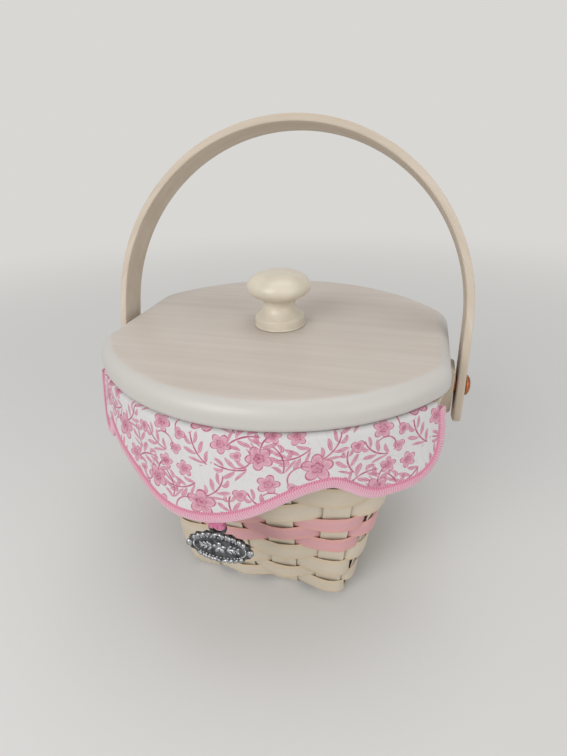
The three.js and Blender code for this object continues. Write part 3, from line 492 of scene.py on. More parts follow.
def pick(obj):
    """Makes one object the only selected and active one, in object mode."""
    if bpy.context.object and bpy.context.object.mode != "OBJECT":
        bpy.ops.object.mode_set(mode="OBJECT")
    bpy.ops.object.select_all(action="DESELECT")
    obj.select_set(True)
    bpy.context.view_layer.objects.active = obj
    return obj


@contextmanager
def editing(obj, action="SELECT"):
    """Edit mode on one object, with all of it selected, none of it, or what was chosen before."""
    pick(obj)
    bpy.ops.object.mode_set(mode="EDIT")
    if action:
        bpy.ops.mesh.select_all(action=action)
    yield
    bpy.ops.object.mode_set(mode="OBJECT")


def choose(obj, kind, test):
    """Selects only those vertices or edges of a mesh that pass a test."""
    with editing(obj, "DESELECT"):
        bpy.ops.mesh.select_mode(type=kind)
    for part in obj.data.vertices if kind == "VERT" else obj.data.edges:
        part.select = test(part)


def modify(obj, kind, **settings):
    """Adds a modifier and applies it."""
    pick(obj)
    made = obj.modifiers.new(kind.lower(), kind)
    for name, value in settings.items():
        setattr(made, name, value)
    bpy.ops.object.modifier_apply(modifier=made.name)
    return obj


def subdivide(obj, levels):
    """A smooth subdivision surface of so many levels."""
    return modify(obj, "SUBSURF", levels=levels, render_levels=levels)


def round_edges(obj, width, segments, angle=40):
    """Rounds every edge that turns by more than an angle in degrees."""
    return modify(
        obj,
        "BEVEL",
        width=width,
        segments=segments,
        limit_method="ANGLE",
        angle_limit=math.radians(angle),
        use_clamp_overlap=True,
    )


def smooth(obj, angle=40):
    """Smooth shading, with edges kept that turn by more than an angle in degrees."""
    pick(obj)
    bpy.ops.object.shade_smooth_by_angle(angle=math.radians(angle))
    return obj


def settle(obj, body, slot, material, *nodes):
    """Gives a finished piece its material, sets it on its body and stands it for its CAD nodes. The slot is
    not used.
    """
    pick(obj)
    bpy.ops.object.transform_apply(location=True, rotation=True, scale=True)
    obj.data.materials.clear()
    obj.data.materials.append(material)
    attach(obj, body)
    if nodes:
        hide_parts(*nodes)
    return obj


def placed(name, mesh):
    """A new object of the scene from a mesh."""
    obj = bpy.data.objects.new(name, mesh)
    bpy.context.scene.collection.objects.link(obj)
    return obj


def merged_copy(node, name, quads=True):
    """A copy of a CAD node with its corners merged and its triangles paired into quads."""
    obj = placed(name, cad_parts[node].data.copy())
    with editing(obj):
        bpy.ops.mesh.remove_doubles(threshold=0.005 * MM)
        if quads:
            flat, skew = math.radians(35), math.radians(120)
            bpy.ops.mesh.tris_convert_to_quads(face_threshold=flat, shape_threshold=skew)
        else:
            bpy.ops.mesh.dissolve_limited(angle_limit=math.radians(1))
    return obj


def eased(node, name, edge, segments):
    """A smooth copy of a CAD node with its edges rounded."""
    return smooth(round_edges(merged_copy(node, name, quads=False), edge, segments))


def stray(obj, reach, spread):
    """Lets a splint wander a little, as hand-woven ones do."""
    clouds = bpy.data.textures.new(obj.name + "_stray", "CLOUDS")
    clouds.cloud_type = "COLOR"
    clouds.noise_scale = spread
    return modify(obj, "DISPLACE", texture=clouds, direction="RGB_TO_XYZ", strength=reach, mid_level=0.5)


def grid_mesh(name, rows, flat, closed=False):
    """A sheet through rows of points, with its flat coordinates as a UV map."""
    across = len(rows[0])
    faces = []
    spans = across if closed else across - 1
    for i in range(len(rows) - 1):
        for j in range(spans):
            k = (j + 1) % across
            faces.append((i * across + j, i * across + k, (i + 1) * across + k, (i + 1) * across + j))
    mesh = bpy.data.meshes.new(name)
    mesh.from_pydata([p for row in rows for p in row], [], faces)
    layer = mesh.uv_layers.new(name="cloth")
    for face in mesh.polygons:
        i, j = divmod(face.index, spans)
        corners = [(i, j), (i, j + 1), (i + 1, j + 1), (i + 1, j)]
        for loop, (row, column) in zip(face.loop_indices, corners):
            layer.data[loop].uv = flat[row][column]
    return placed(name, mesh)


# Rim outline and skirt


def rim_place(sizes, run):
    """A point on the rim's outline and its outward direction, so far right of the front's middle."""
    side = 1 if run >= 0 else -1
    run = abs(run)
    high = BOX["outer_rim"][1]
    half_width, half_depth = high.x - sizes.rim_face, high.y - sizes.rim_face
    bow_y = sizes.rim_bow - half_depth
    corner_x = half_width - sizes.rim_corner
    corner_y = bow_y - math.sqrt((sizes.rim_bow - sizes.rim_corner) ** 2 - corner_x**2)
    turn = math.atan2(corner_y - bow_y, corner_x)
    bow_run = sizes.rim_bow * (turn + math.pi / 2)
    corner_run = -sizes.rim_corner * turn
    if run < bow_run:
        angle = run / sizes.rim_bow - math.pi / 2
        centre, radius = Vector((0, bow_y)), sizes.rim_bow
    elif run < bow_run + corner_run:
        angle = turn + (run - bow_run) / sizes.rim_corner
        centre, radius = Vector((corner_x, corner_y)), sizes.rim_corner
    else:
        angle = 0
        centre, radius = Vector((corner_x, corner_y + run - bow_run - corner_run)), sizes.rim_corner
    out = Vector((math.cos(angle), math.sin(angle)))
    point = centre + out * radius
    return Vector((side * point.x, point.y, 0)), Vector((side * out.x, out.y, 0))


def rim_quarter(sizes):
    """Length of the rim's outline from the front's middle to a handle."""
    low, high = 0.0, 1.0
    for _ in range(50):
        middle = (low + high) / 2
        if rim_place(sizes, middle)[0].y < 0:
            low = middle
        else:
            high = middle
    return low


def round_rim(sizes, run, quarter):
    """The whole rim's outline, from the back's middle round the front and on to the back."""
    if abs(run) <= quarter:
        return rim_place(sizes, run)
    point, out = rim_place(sizes, math.copysign(2 * quarter - abs(run), run))
    return Vector((point.x, -point.y, 0)), Vector((out.x, -out.y, 0))


def skirt_drop(sizes, run, reach):
    """The hem's drop below the rim: a deep middle scallop, two notches and two side scallops."""
    pointed = 1.64  # narrows the middle scallop towards its tip
    steep = 2.4  # how soon a side scallop comes to its full drop
    corner_from, squareness = 0.3, 4  # where a side scallop's end corner starts, and how square it is
    side = math.copysign(1, run - sizes.skirt_shift)
    away = abs(run - sizes.skirt_shift)
    if away < sizes.notch_reach:
        swell = math.cos(away / sizes.notch_reach * math.pi / 2)
        return sizes.notch_drop + (sizes.skirt_drop - sizes.notch_drop) * swell**pointed
    end = reach - side * sizes.skirt_shift
    share = min(1, (away - sizes.notch_reach) / (end - sizes.notch_reach))
    swell = math.sin(min(1, steep * share) * math.pi / 2) ** 2
    dip = sizes.notch_drop + (sizes.side_drop - sizes.notch_drop) * swell
    corner = max(0, (share - corner_from) / (1 - corner_from))
    return sizes.end_drop + (dip - sizes.end_drop) * (1 - corner**squareness) ** (1 / squareness)


def skirt_point(sizes, run, reach, share):
    """A point of the hanging cloth, from the rim (share 0) to the hem (share 1), and the way out."""
    pucker_run, sag_run = 5.3 * MM, 17 * MM
    point, out = rim_place(sizes, run)
    fold = BOX["skirt_front"][1].z - sizes.cloth_thick / 2
    drop = skirt_drop(sizes, run, reach)
    hang = drop * share / sizes.skirt_drop
    ripple = sizes.skirt_ripple * math.cos((run - sizes.skirt_shift) / sizes.notch_reach * math.pi)
    pucker = 0.4 * sizes.skirt_ripple * math.sin(run / pucker_run) * share**3
    sag = 0.5 * sizes.skirt_ripple * math.sin(run / sag_run + 1.3) * math.sin(math.pi * share)
    away = sizes.rim_face + CLOTH_CLEAR + hang * (sizes.skirt_flare + ripple) + pucker + sag
    return point + out * away + Vector((0, 0, fold - drop * share)), out


# Operators


class BASKET_OT_weave(bpy.types.Operator):
    """Dress the stakes, the weavers and the rim bands as hand-woven splints"""

    bl_idname = "basket.weave"
    bl_label = "Weave"

    def execute(self, context):
        sizes, colours = context.scene.basket_sizes, context.scene.basket_colours
        natural = colours.splint, colours.splint_grain
        stained = colours.pink, colours.pink_grain
        # Edge colours: thinner wash or stain at each weaver's edges, with a painted highlight on those edges
        bare_and_highlit_edge = colours.splint_edge
        round_run = (0.05, 0.05, 1)
        rim = grained_wood("maple rim band", natural, round_run, 0.55)
        woods = {
            "outer": rim,
            "inner": rim,
            "cross": grained_wood("maple splint, front to back", natural, (1, 0.04, 0.04), 0.6, 0.4),
            "side": grained_wood("maple splint, side to side", natural, (0.04, 1, 0.04), 0.6, 0.4),
            "row": grained_wood("maple splint, round the basket", natural, round_run, 0.6, edge=bare_and_highlit_edge),
            "pink": grained_wood("stained maple splint", stained, round_run, 0.6, edge=colours.pink_edge_and_highlight),
        }
        for node in sorted(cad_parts):
            if "stake" in node or "weaver" in node or node.endswith("rim"):
                kind = node.split("_")[0]
                slot = "pink_splint" if kind == "pink" else "natural_splint"
                self.dress(node, sizes, woods.get(kind, woods["row"]), slot)
        return {"FINISHED"}

    def dress(self, node, sizes, wood, slot):
        """One splint with rounded edges and a smooth, slightly wandering run."""
        woven = "weaver" in node
        splint = merged_copy(node, node + "_splint")
        round_edges(splint, sizes.splint_edge, 1, 50)
        subdivide(splint, 2 if woven else 1)
        if woven:
            self.spread(splint, BOX[node])
            stray(splint, sizes.splint_stray, STRAY_RUN)
        settle(smooth(splint, 50), "basket_body", slot, wood, node)

    def spread(self, splint, box):
        """Widens a weaver so that it laps its neighbours, and marks each point's place across it."""
        low, high = box[0].z, box[1].z
        across = splint.data.attributes.new("across", "FLOAT", "POINT")
        for vertex, mark in zip(splint.data.vertices, across.data):
            mark.value = (vertex.co.z - low) / (high - low)
            vertex.co.z += (mark.value - 0.5) * WEAVER_LAP * (high - low)


class BASKET_OT_lid(bpy.types.Operator):
    """Model the bowed lid board, and dress its cleats and screw"""

    bl_idname = "basket.lid"
    bl_label = "Lid"

    def execute(self, context):
        sizes, colours = context.scene.basket_sizes, context.scene.basket_colours
        top = BOX["lid_board"][1].z
        wash = colours.lid_edge, top - 0.5 * MM, top - 0.04 * MM
        pine = colours.lid, colours.lid_grain
        wood = grained_wood("whitewashed pine board", pine, (0.03, 1, 1), 0.42, 0.45, 0.8 * MM, 5 * MM, wash)
        settle(self.board(sizes), "lid", "lid_wood", wood, "lid_board")
        for node in ("lid_cleat_front", "lid_cleat_back"):
            settle(eased(node, node + "_strip", 0.8 * MM, 3), "lid", "lid_wood", wood, node)
        screw = eased("knob_screw", "knob_screw_turned", 0.25 * MM, 2)
        steel = worn_metal("zinc-plated steel", colours.steel, colours.pewter_worn, 0.35, 0.5 * MM)
        settle(screw, "lid", "screw_steel", steel, "knob_screw")
        return {"FINISHED"}

    def board(self, sizes):
        """A flat outline drawn from a circle, extruded to a board, with a full round on its edge."""
        low, high = BOX["lid_board"]
        quarter = rim_quarter(sizes)
        count = 288
        bpy.ops.object.select_all(action="DESELECT")
        bpy.ops.mesh.primitive_circle_add(vertices=count, radius=high.x, fill_type="NGON")
        board = bpy.context.object
        board.name = "lid_board_shaped"
        for i, vertex in enumerate(board.data.vertices):
            point, out = round_rim(sizes, (i / count * 4 - 2) * quarter, quarter)
            vertex.co = point + out * sizes.lid_overhang + Vector((0, 0, low.z))
        with editing(board):
            bpy.ops.mesh.extrude_region_move(TRANSFORM_OT_translate={"value": (0, 0, high.z - low.z)})
            bpy.ops.mesh.select_all(action="SELECT")
            bpy.ops.mesh.normals_make_consistent(inside=False)
        self.round_loop(board, high.z, sizes.lid_round)
        self.round_loop(board, low.z, sizes.lid_ease)
        return smooth(board, 35)

    def round_loop(self, board, height, radius):
        """Rounds the board's edge at one height."""

        def level(edge):
            return all(abs(board.data.vertices[i].co.z - height) < 0.01 * MM for i in edge.vertices)

        choose(board, "EDGE", level)
        with editing(board, None):
            bpy.ops.mesh.bevel(offset=radius, segments=10, profile=0.5, affect="EDGES", clamp_overlap=False)


class BASKET_OT_knob(bpy.types.Operator):
    """Turn the lid's knob"""

    bl_idname = "basket.knob"
    bl_label = "Knob"

    def execute(self, context):
        sizes, colours = context.scene.basket_sizes, context.scene.basket_colours
        low, high = BOX["knob"]
        profile = through(KNOB_PROFILE * (high.z - low.z) / KNOB_PROFILE[-1][1], 5)
        mesh = bpy.data.meshes.new("knob_turned")
        points = [(r, 0, low.z + z) for r, z in profile]
        mesh.from_pydata(points, [(i, i + 1) for i in range(len(points) - 1)], [])
        knob = placed("knob_turned", mesh)
        with editing(knob):
            bpy.ops.mesh.spin(steps=sizes.turning_steps, angle=2 * math.pi, center=(0, 0, 0), axis=(0, 0, 1))
            bpy.ops.mesh.select_all(action="SELECT")
            bpy.ops.mesh.remove_doubles(threshold=0.01 * MM)
            bpy.ops.mesh.fill_holes(sides=0)
            bpy.ops.mesh.normals_make_consistent(inside=False)
        paint = painted_wood("ivory paint on turned wood", colours.knob)
        settle(smooth(knob, 50), "lid", "ivory_paint", paint, "knob")
        return {"FINISHED"}


class BASKET_OT_handle(bpy.types.Operator):
    """Dress the bentwood handle, its ears, washers and rivets"""

    bl_idname = "basket.handle"
    bl_label = "Handle"

    def execute(self, context):
        colours = context.scene.basket_colours
        ash = colours.handle, colours.handle_grain
        bent_run, block_run, pore = (0.04, 1, 1), (0.05, 1, 0.05), 1.1 * MM
        bent = grained_wood("steam-bent ash", ash, bent_run, 0.66, 0.7, pore, 5 * MM, bend="straight")
        block = grained_wood("ash block", ash, block_run, 0.66, 0.7, pore, 7 * MM)
        strip = merged_copy("handle", "handle_bentwood")
        round_edges(strip, 0.9 * MM, 2, 50)
        subdivide(strip, 2)
        self.straighten(strip)
        settle(smooth(strip, 60), "handle", "bent_wood", bent, "handle")
        copper = worn_metal("copper", colours.copper, colours.copper_worn, 0.3, 0.6 * MM)
        for side in ("right", "left"):
            ear = "handle_ear_" + side
            settle(eased(ear, ear + "_block", 0.7 * MM, 3), "basket_body", "bent_wood", block, ear)
            for node, edge in (("washer_" + side, 0.15 * MM), ("rivet_" + side, 0.3 * MM)):
                turned = merged_copy(node, node + "_turned")
                round_edges(turned, edge, 2, 50)
                settle(smooth(turned, 45), "basket_body", "copper", copper, node)
        return {"FINISHED"}

    def straighten(self, strip):
        """Marks each point's place along, across and through the strip before it was bent."""
        corners = strip.data.vertices
        pivot = sum(BOX["rivet_right"], Vector()) / 2
        pivot.x = 0
        middle = sum((corner.co for corner in corners), Vector()) / len(corners) - pivot
        upward = Vector((0, middle.y, middle.z)).normalized()
        sideways = upward.cross(Vector((1, 0, 0)))
        half_span = BOX["handle"][1].x
        straight = strip.data.attributes.new("straight", "FLOAT_VECTOR", "POINT")
        for corner, mark in zip(corners, straight.data):
            off = corner.co - pivot
            rise = off.dot(upward)
            along = half_span * math.atan2(off.x, rise)
            mark.vector = (along, off.dot(sideways), math.hypot(off.x, rise))


class BASKET_OT_liner(bpy.types.Operator):
    """Hang the cloth bag inside the basket"""

    bl_idname = "basket.liner"
    bl_label = "Liner bag"

    def execute(self, context):
        sizes, colours = context.scene.basket_sizes, context.scene.basket_colours
        cotton = printed_cotton(sizes, colours)
        low, high = BOX["liner_bag"]
        quarter = rim_quarter(sizes)
        foot_half, squareness = sizes.liner_foot, 5
        columns, levels = 240, 56
        rows, flat = [], []
        inset = BOX["outer_rim"][1].x - sizes.rim_face - high.x + LINER_GAP
        floor_z = low.z + sizes.cloth_thick
        for level in range(levels + 1):
            share = level / levels
            row, places = [], []
            for column in range(columns + 1):
                run = (column / columns * 4 - 2) * quarter
                point, out = round_rim(sizes, run, quarter)
                top = point - out * inset
                angle = math.atan2(top.y, top.x)
                spread = abs(math.cos(angle)) ** squareness + abs(math.sin(angle)) ** squareness
                reach = foot_half * spread ** (-1 / squareness)
                foot = Vector((reach * math.cos(angle), reach * math.sin(angle), 0))
                row.append(self.bag_point(foot, top, share, floor_z, high.z, run))
                places.append((run, share * (high.z - floor_z)))
            rows.append(row[:-1])
            flat.append(places)
        bag = grid_mesh("liner_bag_cloth", rows, flat, closed=True)
        self.close_foot(bag, 2.5 * LINER_HOLE * foot_half)
        modify(bag, "SOLIDIFY", thickness=sizes.cloth_thick, offset=0)
        settle(smooth(bag, 60), "basket_body", "printed_cotton", cotton, "liner_bag")
        return {"FINISHED"}

    def close_foot(self, bag, reach):
        """Draws the small hole in the middle of the floor together."""
        choose(bag, "VERT", lambda vertex: vertex.co.xy.length < reach)
        with editing(bag, None):
            bpy.ops.mesh.merge(type="CENTER")

    def bag_point(self, foot, top, share, floor_z, top_z, run):
        """A point of the bag: the first levels spread over the floor, the rest climb the wall."""
        crease_deep, crease_run, crease_from = 0.5 * MM, 9 * MM, 50 * MM
        if share < LINER_FLOOR:
            spread = share / LINER_FLOOR
            return foot * max(spread, LINER_HOLE) + Vector((0, 0, floor_z + LINER_TOE * spread**6))
        climb = (share - LINER_FLOOR) / (1 - LINER_FLOOR)
        height = floor_z + LINER_TOE + (top_z - floor_z - LINER_TOE) * climb
        crease = crease_deep * math.sin(run / crease_run) * math.sin(math.pi * climb)
        point = foot.lerp(top, climb) * (1 - abs(crease) / crease_from)
        return point + Vector((0, 0, height))


class BASKET_OT_skirts(bpy.types.Operator):
    """Hang the scalloped skirts over the rim and overlock their hems"""

    bl_idname = "basket.skirts"
    bl_label = "Skirts"

    def execute(self, context):
        sizes, colours = context.scene.basket_sizes, context.scene.basket_colours
        cotton = bpy.data.materials.get("printed cotton") or printed_cotton(sizes, colours)
        # Thread dyes, and the painted shade of the grooves and inner side
        dyes_and_shade = colours.thread, colours.thread_painted_shade, colours.needle_thread
        thread = overlock_thread("overlocked rayon", *dyes_and_shade)
        reach = rim_quarter(sizes) - sizes.slit_half
        for turn, side in enumerate(("front", "back")):
            spun = Matrix.Rotation(turn * math.pi, 4, "Z")
            skirt, cut = self.skirt(sizes, reach, side)
            edging = self.edging(sizes, reach, side)
            for piece in (skirt, edging):
                piece.data.transform(spun)
            settle(edging, "basket_body", "edging_thread", thread, "skirt_edging_" + side)
            settle(skirt, "basket_body", "printed_cotton", cotton, "skirt_" + side)
        return {"FINISHED"}

    def skirt(self, sizes, reach, side):
        """The cloth from the liner's lip over the rim to the hem, and the area of its cut."""
        columns, levels, lip_levels = 240, 32, 10
        rows, flat, cut = [], [], 0.0
        runs = [math.sin((i / columns - 0.5) * math.pi) * reach for i in range(columns + 1)]
        for before, after in zip(runs, runs[1:]):
            cut += (after - before) * (LIP + skirt_drop(sizes, (before + after) / 2, reach))
        for level in range(-lip_levels, levels + 1):
            row, places = [], []
            for run in runs:
                past = LIP * level / lip_levels
                if level >= 0:
                    past = skirt_drop(sizes, run, reach) * level / levels
                row.append(self.over_rim(sizes, run, reach, past))
                places.append((run, -past))
            rows.append(row)
            flat.append(places)
        skirt = grid_mesh(f"skirt_{side}_cloth", rows, flat)
        modify(skirt, "SOLIDIFY", thickness=sizes.cloth_thick, offset=0)
        return smooth(skirt, 70), cut

    def over_rim(self, sizes, run, reach, past):
        """A point of the cloth at a distance past the rim's edge, with the fold rounded."""
        point, out = skirt_point(sizes, run, reach, max(0, past) / skirt_drop(sizes, run, reach))
        turn = (past / sizes.fold_round + 1) * math.pi / 4
        inward, down = max(0, -past), max(0, past)
        if 0 < turn < math.pi / 2:
            point += Vector((0, 0, down - sizes.fold_round * (1 - math.cos(turn))))
            inward = sizes.fold_round * (1 - math.sin(turn))
        return point - out * inward

    def edging(self, sizes, reach, side):
        """A plump ribbed bead along the hem, one rib to a stitch."""
        dense, sides, stitch_steps = 1500, 12, 5
        past_hem = 0.42 * sizes.edging_width  # the hem to the bead's middle
        lean = 0.22  # how far a stitch slants round the bead, in stitches
        plump, bulge = 0.1, 0.03  # a rib's swell through and across the bead, as shares of it
        hem = []
        for i in range(dense + 1):
            run = math.sin((i / dense - 0.5) * math.pi) * reach
            hem.append(skirt_point(sizes, run, reach, 1.0))
        points = np.array([p for p, _ in hem])
        outs = np.array([o for _, o in hem])
        run = np.concatenate([[0], np.cumsum(np.linalg.norm(np.diff(points, axis=0), axis=1))])
        stitches = round(run[-1] / sizes.stitch_pitch)
        along = np.linspace(0, run[-1], stitches * stitch_steps + 1)
        line = np.stack([np.interp(along, run, points[:, k]) for k in range(3)], 1)
        out = np.stack([np.interp(along, run, outs[:, k]) for k in range(3)], 1)
        tangent = np.gradient(line, axis=0)
        away = np.cross(out, tangent)
        away /= np.linalg.norm(away, axis=1)[:, None]
        away[away[:, 2] > 0] *= -1
        rows, flat = [], []
        for i, place in enumerate(line):
            row, uv = [], []
            for j in range(sides + 1):
                angle = 2 * math.pi * j / sides
                phase = i / stitch_steps + lean * math.sin(angle)
                rib = math.cos(2 * math.pi * phase)
                wide = sizes.edging_width / 2 * math.cos(angle) * (1 + bulge * rib)
                thick = sizes.edging_thick / 2 * math.sin(angle) * (1 + plump * rib)
                row.append(place + away[i] * (past_hem + wide) + out[i] * thick)
                uv.append((phase, j / sides))
            rows.append([Vector(p) for p in row[:-1]])
            flat.append(uv)
        bead = grid_mesh(f"skirt_edging_{side}_overlock", rows, flat, closed=True)
        with editing(bead):
            bpy.ops.mesh.fill_holes(sides=0)
            bpy.ops.mesh.normals_make_consistent(inside=False)
        return smooth(bead, 70)


class BASKET_OT_charm(bpy.types.Operator):
    """Cast the charm and hang it on its ribbon"""

    bl_idname = "basket.charm"
    bl_label = "Charm"

    def execute(self, context):
        colours = context.scene.basket_colours
        pewter = worn_metal("cast pewter", colours.pewter, colours.pewter_worn, 0.25, 0.5 * MM)
        black = worn_metal("blackened pewter", colours.pewter_dark, colours.pewter_worn, 0.45, 0.5 * MM)
        settle(eased("charm", "charm_plate", 0.35 * MM, 2), "charm", "pewter", black, "charm")
        low, high = BOX["charm"]
        half_width = (high.x - low.x) / 2
        middle = Vector((low.x + half_width, low.y, low.z + CHARM_HALF_HEIGHT))
        settle(self.relief(middle, half_width, CHARM_HALF_HEIGHT), "charm", "pewter", pewter)
        satin = satin_ribbon("narrow satin ribbon", colours.ribbon)
        settle(self.ribbon(), "basket_body", "satin_ribbon", satin, "charm_ribbon")
        return {"FINISHED"}

    def ribbon(self):
        """The ribbon's loop, knotted round the charm's ring."""
        loop = merged_copy("charm_ribbon", "charm_ribbon_loop")
        round_edges(loop, 0.12 * MM, 1, 50)
        subdivide(loop, 2)
        low, high = BOX["charm_ribbon"]
        knot = Vector(((low.x + high.x) / 2, (low.y + high.y) / 2, low.z + 1.9 * MM))
        puffs = [
            self.drop(knot, (side * 2 * MM, lift * 1.2 * MM), (2.1, 1.6, 2.3), side * lift * 0.5, 24)
            for side in (1, -1)
            for lift in (1, -1)
        ]
        puffs.append(self.drop(knot, (0, 0), (1.3, 3.1, 2.7), 0.25, 24))
        return smooth(self.joined([loop, *puffs]), 60)

    def relief(self, middle, half_width, half_height):
        """A beaded border with leaf scrolls, a five-petalled flower and two leaf sprays, raised."""
        parts = []
        beads, petals = 44, 5

        def cast(x, y, half, angle):
            parts.append(self.drop(middle, (x, y), half, angle))

        for i in range(beads):
            angle = 2 * math.pi * i / beads
            x, y = half_width * 0.8 * math.cos(angle), half_height * 0.7 * math.sin(angle)
            cast(x, y, (0.5, 0.5, 0.45), angle)
        for side in (1, -1):
            cast(side * half_width * 0.93, 0, (1.6, 2.0, 1.2), 0)
            for lift, leaves in ((1, 5), (-1, 4)):
                for i in range(leaves):
                    angle = math.pi / 2 - side * (0.13 + 0.22 * i)
                    x, y = half_width * 0.88 * math.cos(angle), lift * half_height * 0.88 * math.sin(angle)
                    cast(x, y, (2.1 - 0.15 * i, 0.95, 1.0), -side * lift * (0.45 + 0.2 * i))
            for i in range(3):
                for lift in (1, -1):
                    x, y = side * (4.8 + 1.9 * i) * MM, lift * (1.5 - 0.3 * i) * MM
                    cast(x, y, (1.6 - 0.2 * i, 0.6, 0.5), side * lift * 0.75)
            cast(side * 6.4 * MM, 0, (3.4, 0.3, 0.4), 0)
        for i in range(petals):
            angle = 2 * math.pi * i / petals + math.pi / 2
            cast(2.0 * MM * math.cos(angle), 2.0 * MM * math.sin(angle), (1.5, 1.05, 0.7), angle)
        cast(0, 0, (0.9, 0.9, 1.0), 0)
        relief = self.joined(parts)
        relief.name = "charm_relief"
        return smooth(relief, 60)

    def joined(self, parts):
        """Joins parts into the first one."""
        bpy.ops.object.select_all(action="DESELECT")
        for part in parts:
            part.select_set(True)
        bpy.context.view_layer.objects.active = parts[0]
        bpy.ops.object.join()
        return parts[0]

    def drop(self, middle, place, half, angle, segments=12):
        """One cast bead, petal or leaf: half its length, width and rise in millimetres, and its turn."""
        bpy.ops.object.select_all(action="DESELECT")
        bpy.ops.mesh.primitive_uv_sphere_add(segments=segments, ring_count=7, radius=1)
        obj = bpy.context.object
        size = Matrix.Diagonal((half[0] * MM, half[2] * MM, half[1] * MM, 1))
        turned = Matrix.Rotation(-angle, 4, "Y")
        spot = Matrix.Translation(middle + Vector((place[0], 0, place[1])))
        obj.data.transform(spot @ turned @ size)
        return obj


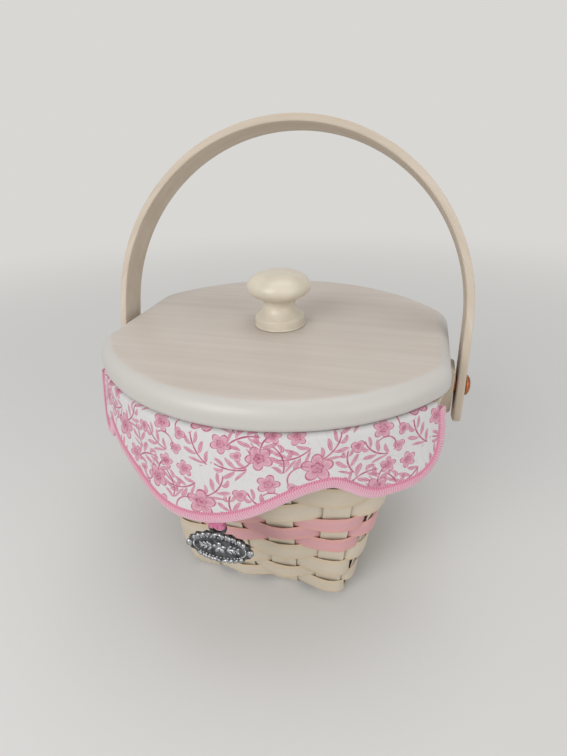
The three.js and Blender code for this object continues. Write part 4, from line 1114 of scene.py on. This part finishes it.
class BASKET_OT_stage(bpy.types.Operator):
    """Set the pale floor, the soft lights and the camera"""

    bl_idname = "basket.stage"
    bl_label = "Stage"

    def execute(self, context):
        scene = context.scene
        scene.view_settings.view_transform = "Standard"
        self.floor(scene.basket_colours.floor)
        self.lights(scene, scene.basket_colours)
        self.camera(scene)
        return {"FINISHED"}

    def floor(self, shade):
        """A wide floor that fades into the plain background away from the basket."""
        bpy.ops.object.select_all(action="DESELECT")
        bpy.ops.mesh.primitive_circle_add(vertices=96, radius=FLOOR_RADIUS, fill_type="NGON")
        floor = bpy.context.object
        floor.name = "studio_floor"
        paper, tree = new_material("matt studio paper", {"Roughness": 0.9, "Base Color": shade})
        place = add(tree, "TexCoord", out="Object")
        away = add(tree, "VectorMath", [place], out="Value", operation="LENGTH")
        fade = add(tree, "MapRange", [away, *FLOOR_FADE], interpolation_type="SMOOTHSTEP")
        fade = add(tree, "Math", [fade, self.seen(tree)], operation="MULTIPLY")
        backdrop = add(tree, "Emission", {"Color": shade})
        matt = tree.nodes["Principled BSDF"].outputs[0]
        mixed = add(tree, "MixShader", [fade, matt, backdrop])
        tree.links.new(mixed, tree.nodes["Material Output"].inputs["Surface"])
        paper.cycles.emission_sampling = "NONE"  # the far floor is only seen, and lights nothing
        floor.data.materials.append(paper)

    def seen(self, tree):
        """1 where a ray comes from the camera or from a mirror or glass, and 0 where it only lights."""
        path = add(tree, "LightPath").node
        rays = [path.outputs[f"Is {kind} Ray"] for kind in ("Camera", "Glossy", "Transmission")]
        return strongest(tree, rays)

    def lights(self, scene, colours):
        """A large key from the front left, a fill from the right, a top light and an even sky."""
        scene.world = scene.world or bpy.data.worlds.new("studio")
        scene.world.use_nodes = True
        tree = scene.world.node_tree
        sky = tree.nodes["Background"]
        sky.inputs["Color"].default_value = colours.sky
        sky.inputs["Strength"].default_value = 0.5
        backdrop = add(tree, "Background", {"Color": colours.floor})
        mixed = add(tree, "MixShader", [self.seen(tree), sky.outputs[0], backdrop])
        tree.links.new(mixed, tree.nodes["World Output"].inputs["Surface"])
        aim = Vector((0, 0, 0.11))
        for name, place, size, power in (
            ("key", (-0.4, -0.85, 0.62), 0.6, 5.5),
            ("fill", (0.9, -0.5, 0.4), 0.8, 3.0),
            ("top", (0.1, 0.15, 1.15), 0.7, 3.0),
        ):
            lamp = bpy.data.lights.new(name, "AREA")
            lamp.size = size
            lamp.energy = power
            holder = placed(name, lamp)
            holder.location = place
            holder.rotation_euler = (aim - Vector(place)).to_track_quat("-Z", "Y").to_euler()

    def camera(self, scene):
        """The photograph's view: from the front, a little right of the middle and above the lid."""
        focal_px, frame_px = 474.7, 756
        yaw, pitch, roll = math.radians(-15.94), math.radians(28.21), math.radians(-1.68)
        place = Vector((64.1, -221.0, 231.3)) * MM
        level = math.cos(pitch)
        ahead = Vector((math.sin(yaw) * level, math.cos(yaw) * level, -math.sin(pitch)))
        right = Vector((math.cos(yaw), -math.sin(yaw), 0))
        up = right.cross(ahead)
        across = right * math.cos(roll) + up * math.sin(roll)
        upright = up * math.cos(roll) - right * math.sin(roll)
        data = bpy.data.cameras.new("photo_view")
        data.sensor_width = 36
        data.lens = focal_px / frame_px * data.sensor_width
        camera = placed("photo_view", data)
        turned = Matrix((across, upright, -ahead)).transposed().to_4x4()
        camera.matrix_world = Matrix.Translation(place) @ turned
        scene.camera = camera


class BASKET_PT_panel(bpy.types.Panel):
    """Lists the basket's pieces, sizes and colours"""

    bl_idname = "BASKET_PT_panel"
    bl_label = "Splint basket"
    bl_space_type = "VIEW_3D"
    bl_region_type = "UI"
    bl_category = "Basket"

    def draw(self, context):
        for operator in OPERATORS:
            self.layout.operator(operator.bl_idname)
        for group in (context.scene.basket_sizes, context.scene.basket_colours):
            box = self.layout.box()
            for name in group.bl_rna.properties.keys():
                if name not in ("rna_type", "name"):
                    box.prop(group, name)


OPERATORS = (
    BASKET_OT_stage,
    BASKET_OT_weave,
    BASKET_OT_lid,
    BASKET_OT_knob,
    BASKET_OT_handle,
    BASKET_OT_liner,
    BASKET_OT_skirts,
    BASKET_OT_charm,
)
CLASSES = (BasketSizes, BasketColours, *OPERATORS, BASKET_PT_panel)


def register():
    """Adds the classes, and the sizes and colours of a scene."""
    for cls in CLASSES:
        bpy.utils.register_class(cls)
    bpy.types.Scene.basket_sizes = PointerProperty(type=BasketSizes)
    bpy.types.Scene.basket_colours = PointerProperty(type=BasketColours)


def unregister():
    """Takes away what register adds."""
    del bpy.types.Scene.basket_colours
    del bpy.types.Scene.basket_sizes
    for cls in reversed(CLASSES):
        bpy.utils.unregister_class(cls)


def main():
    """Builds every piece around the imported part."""
    register()
    bpy.ops.object.select_all(action="DESELECT")
    bpy.ops.basket.stage()
    bpy.ops.basket.weave()
    bpy.ops.basket.lid()
    bpy.ops.basket.knob()
    bpy.ops.basket.handle()
    bpy.ops.basket.liner()
    bpy.ops.basket.skirts()
    bpy.ops.basket.charm()


if __name__ == "__main__":
    main()
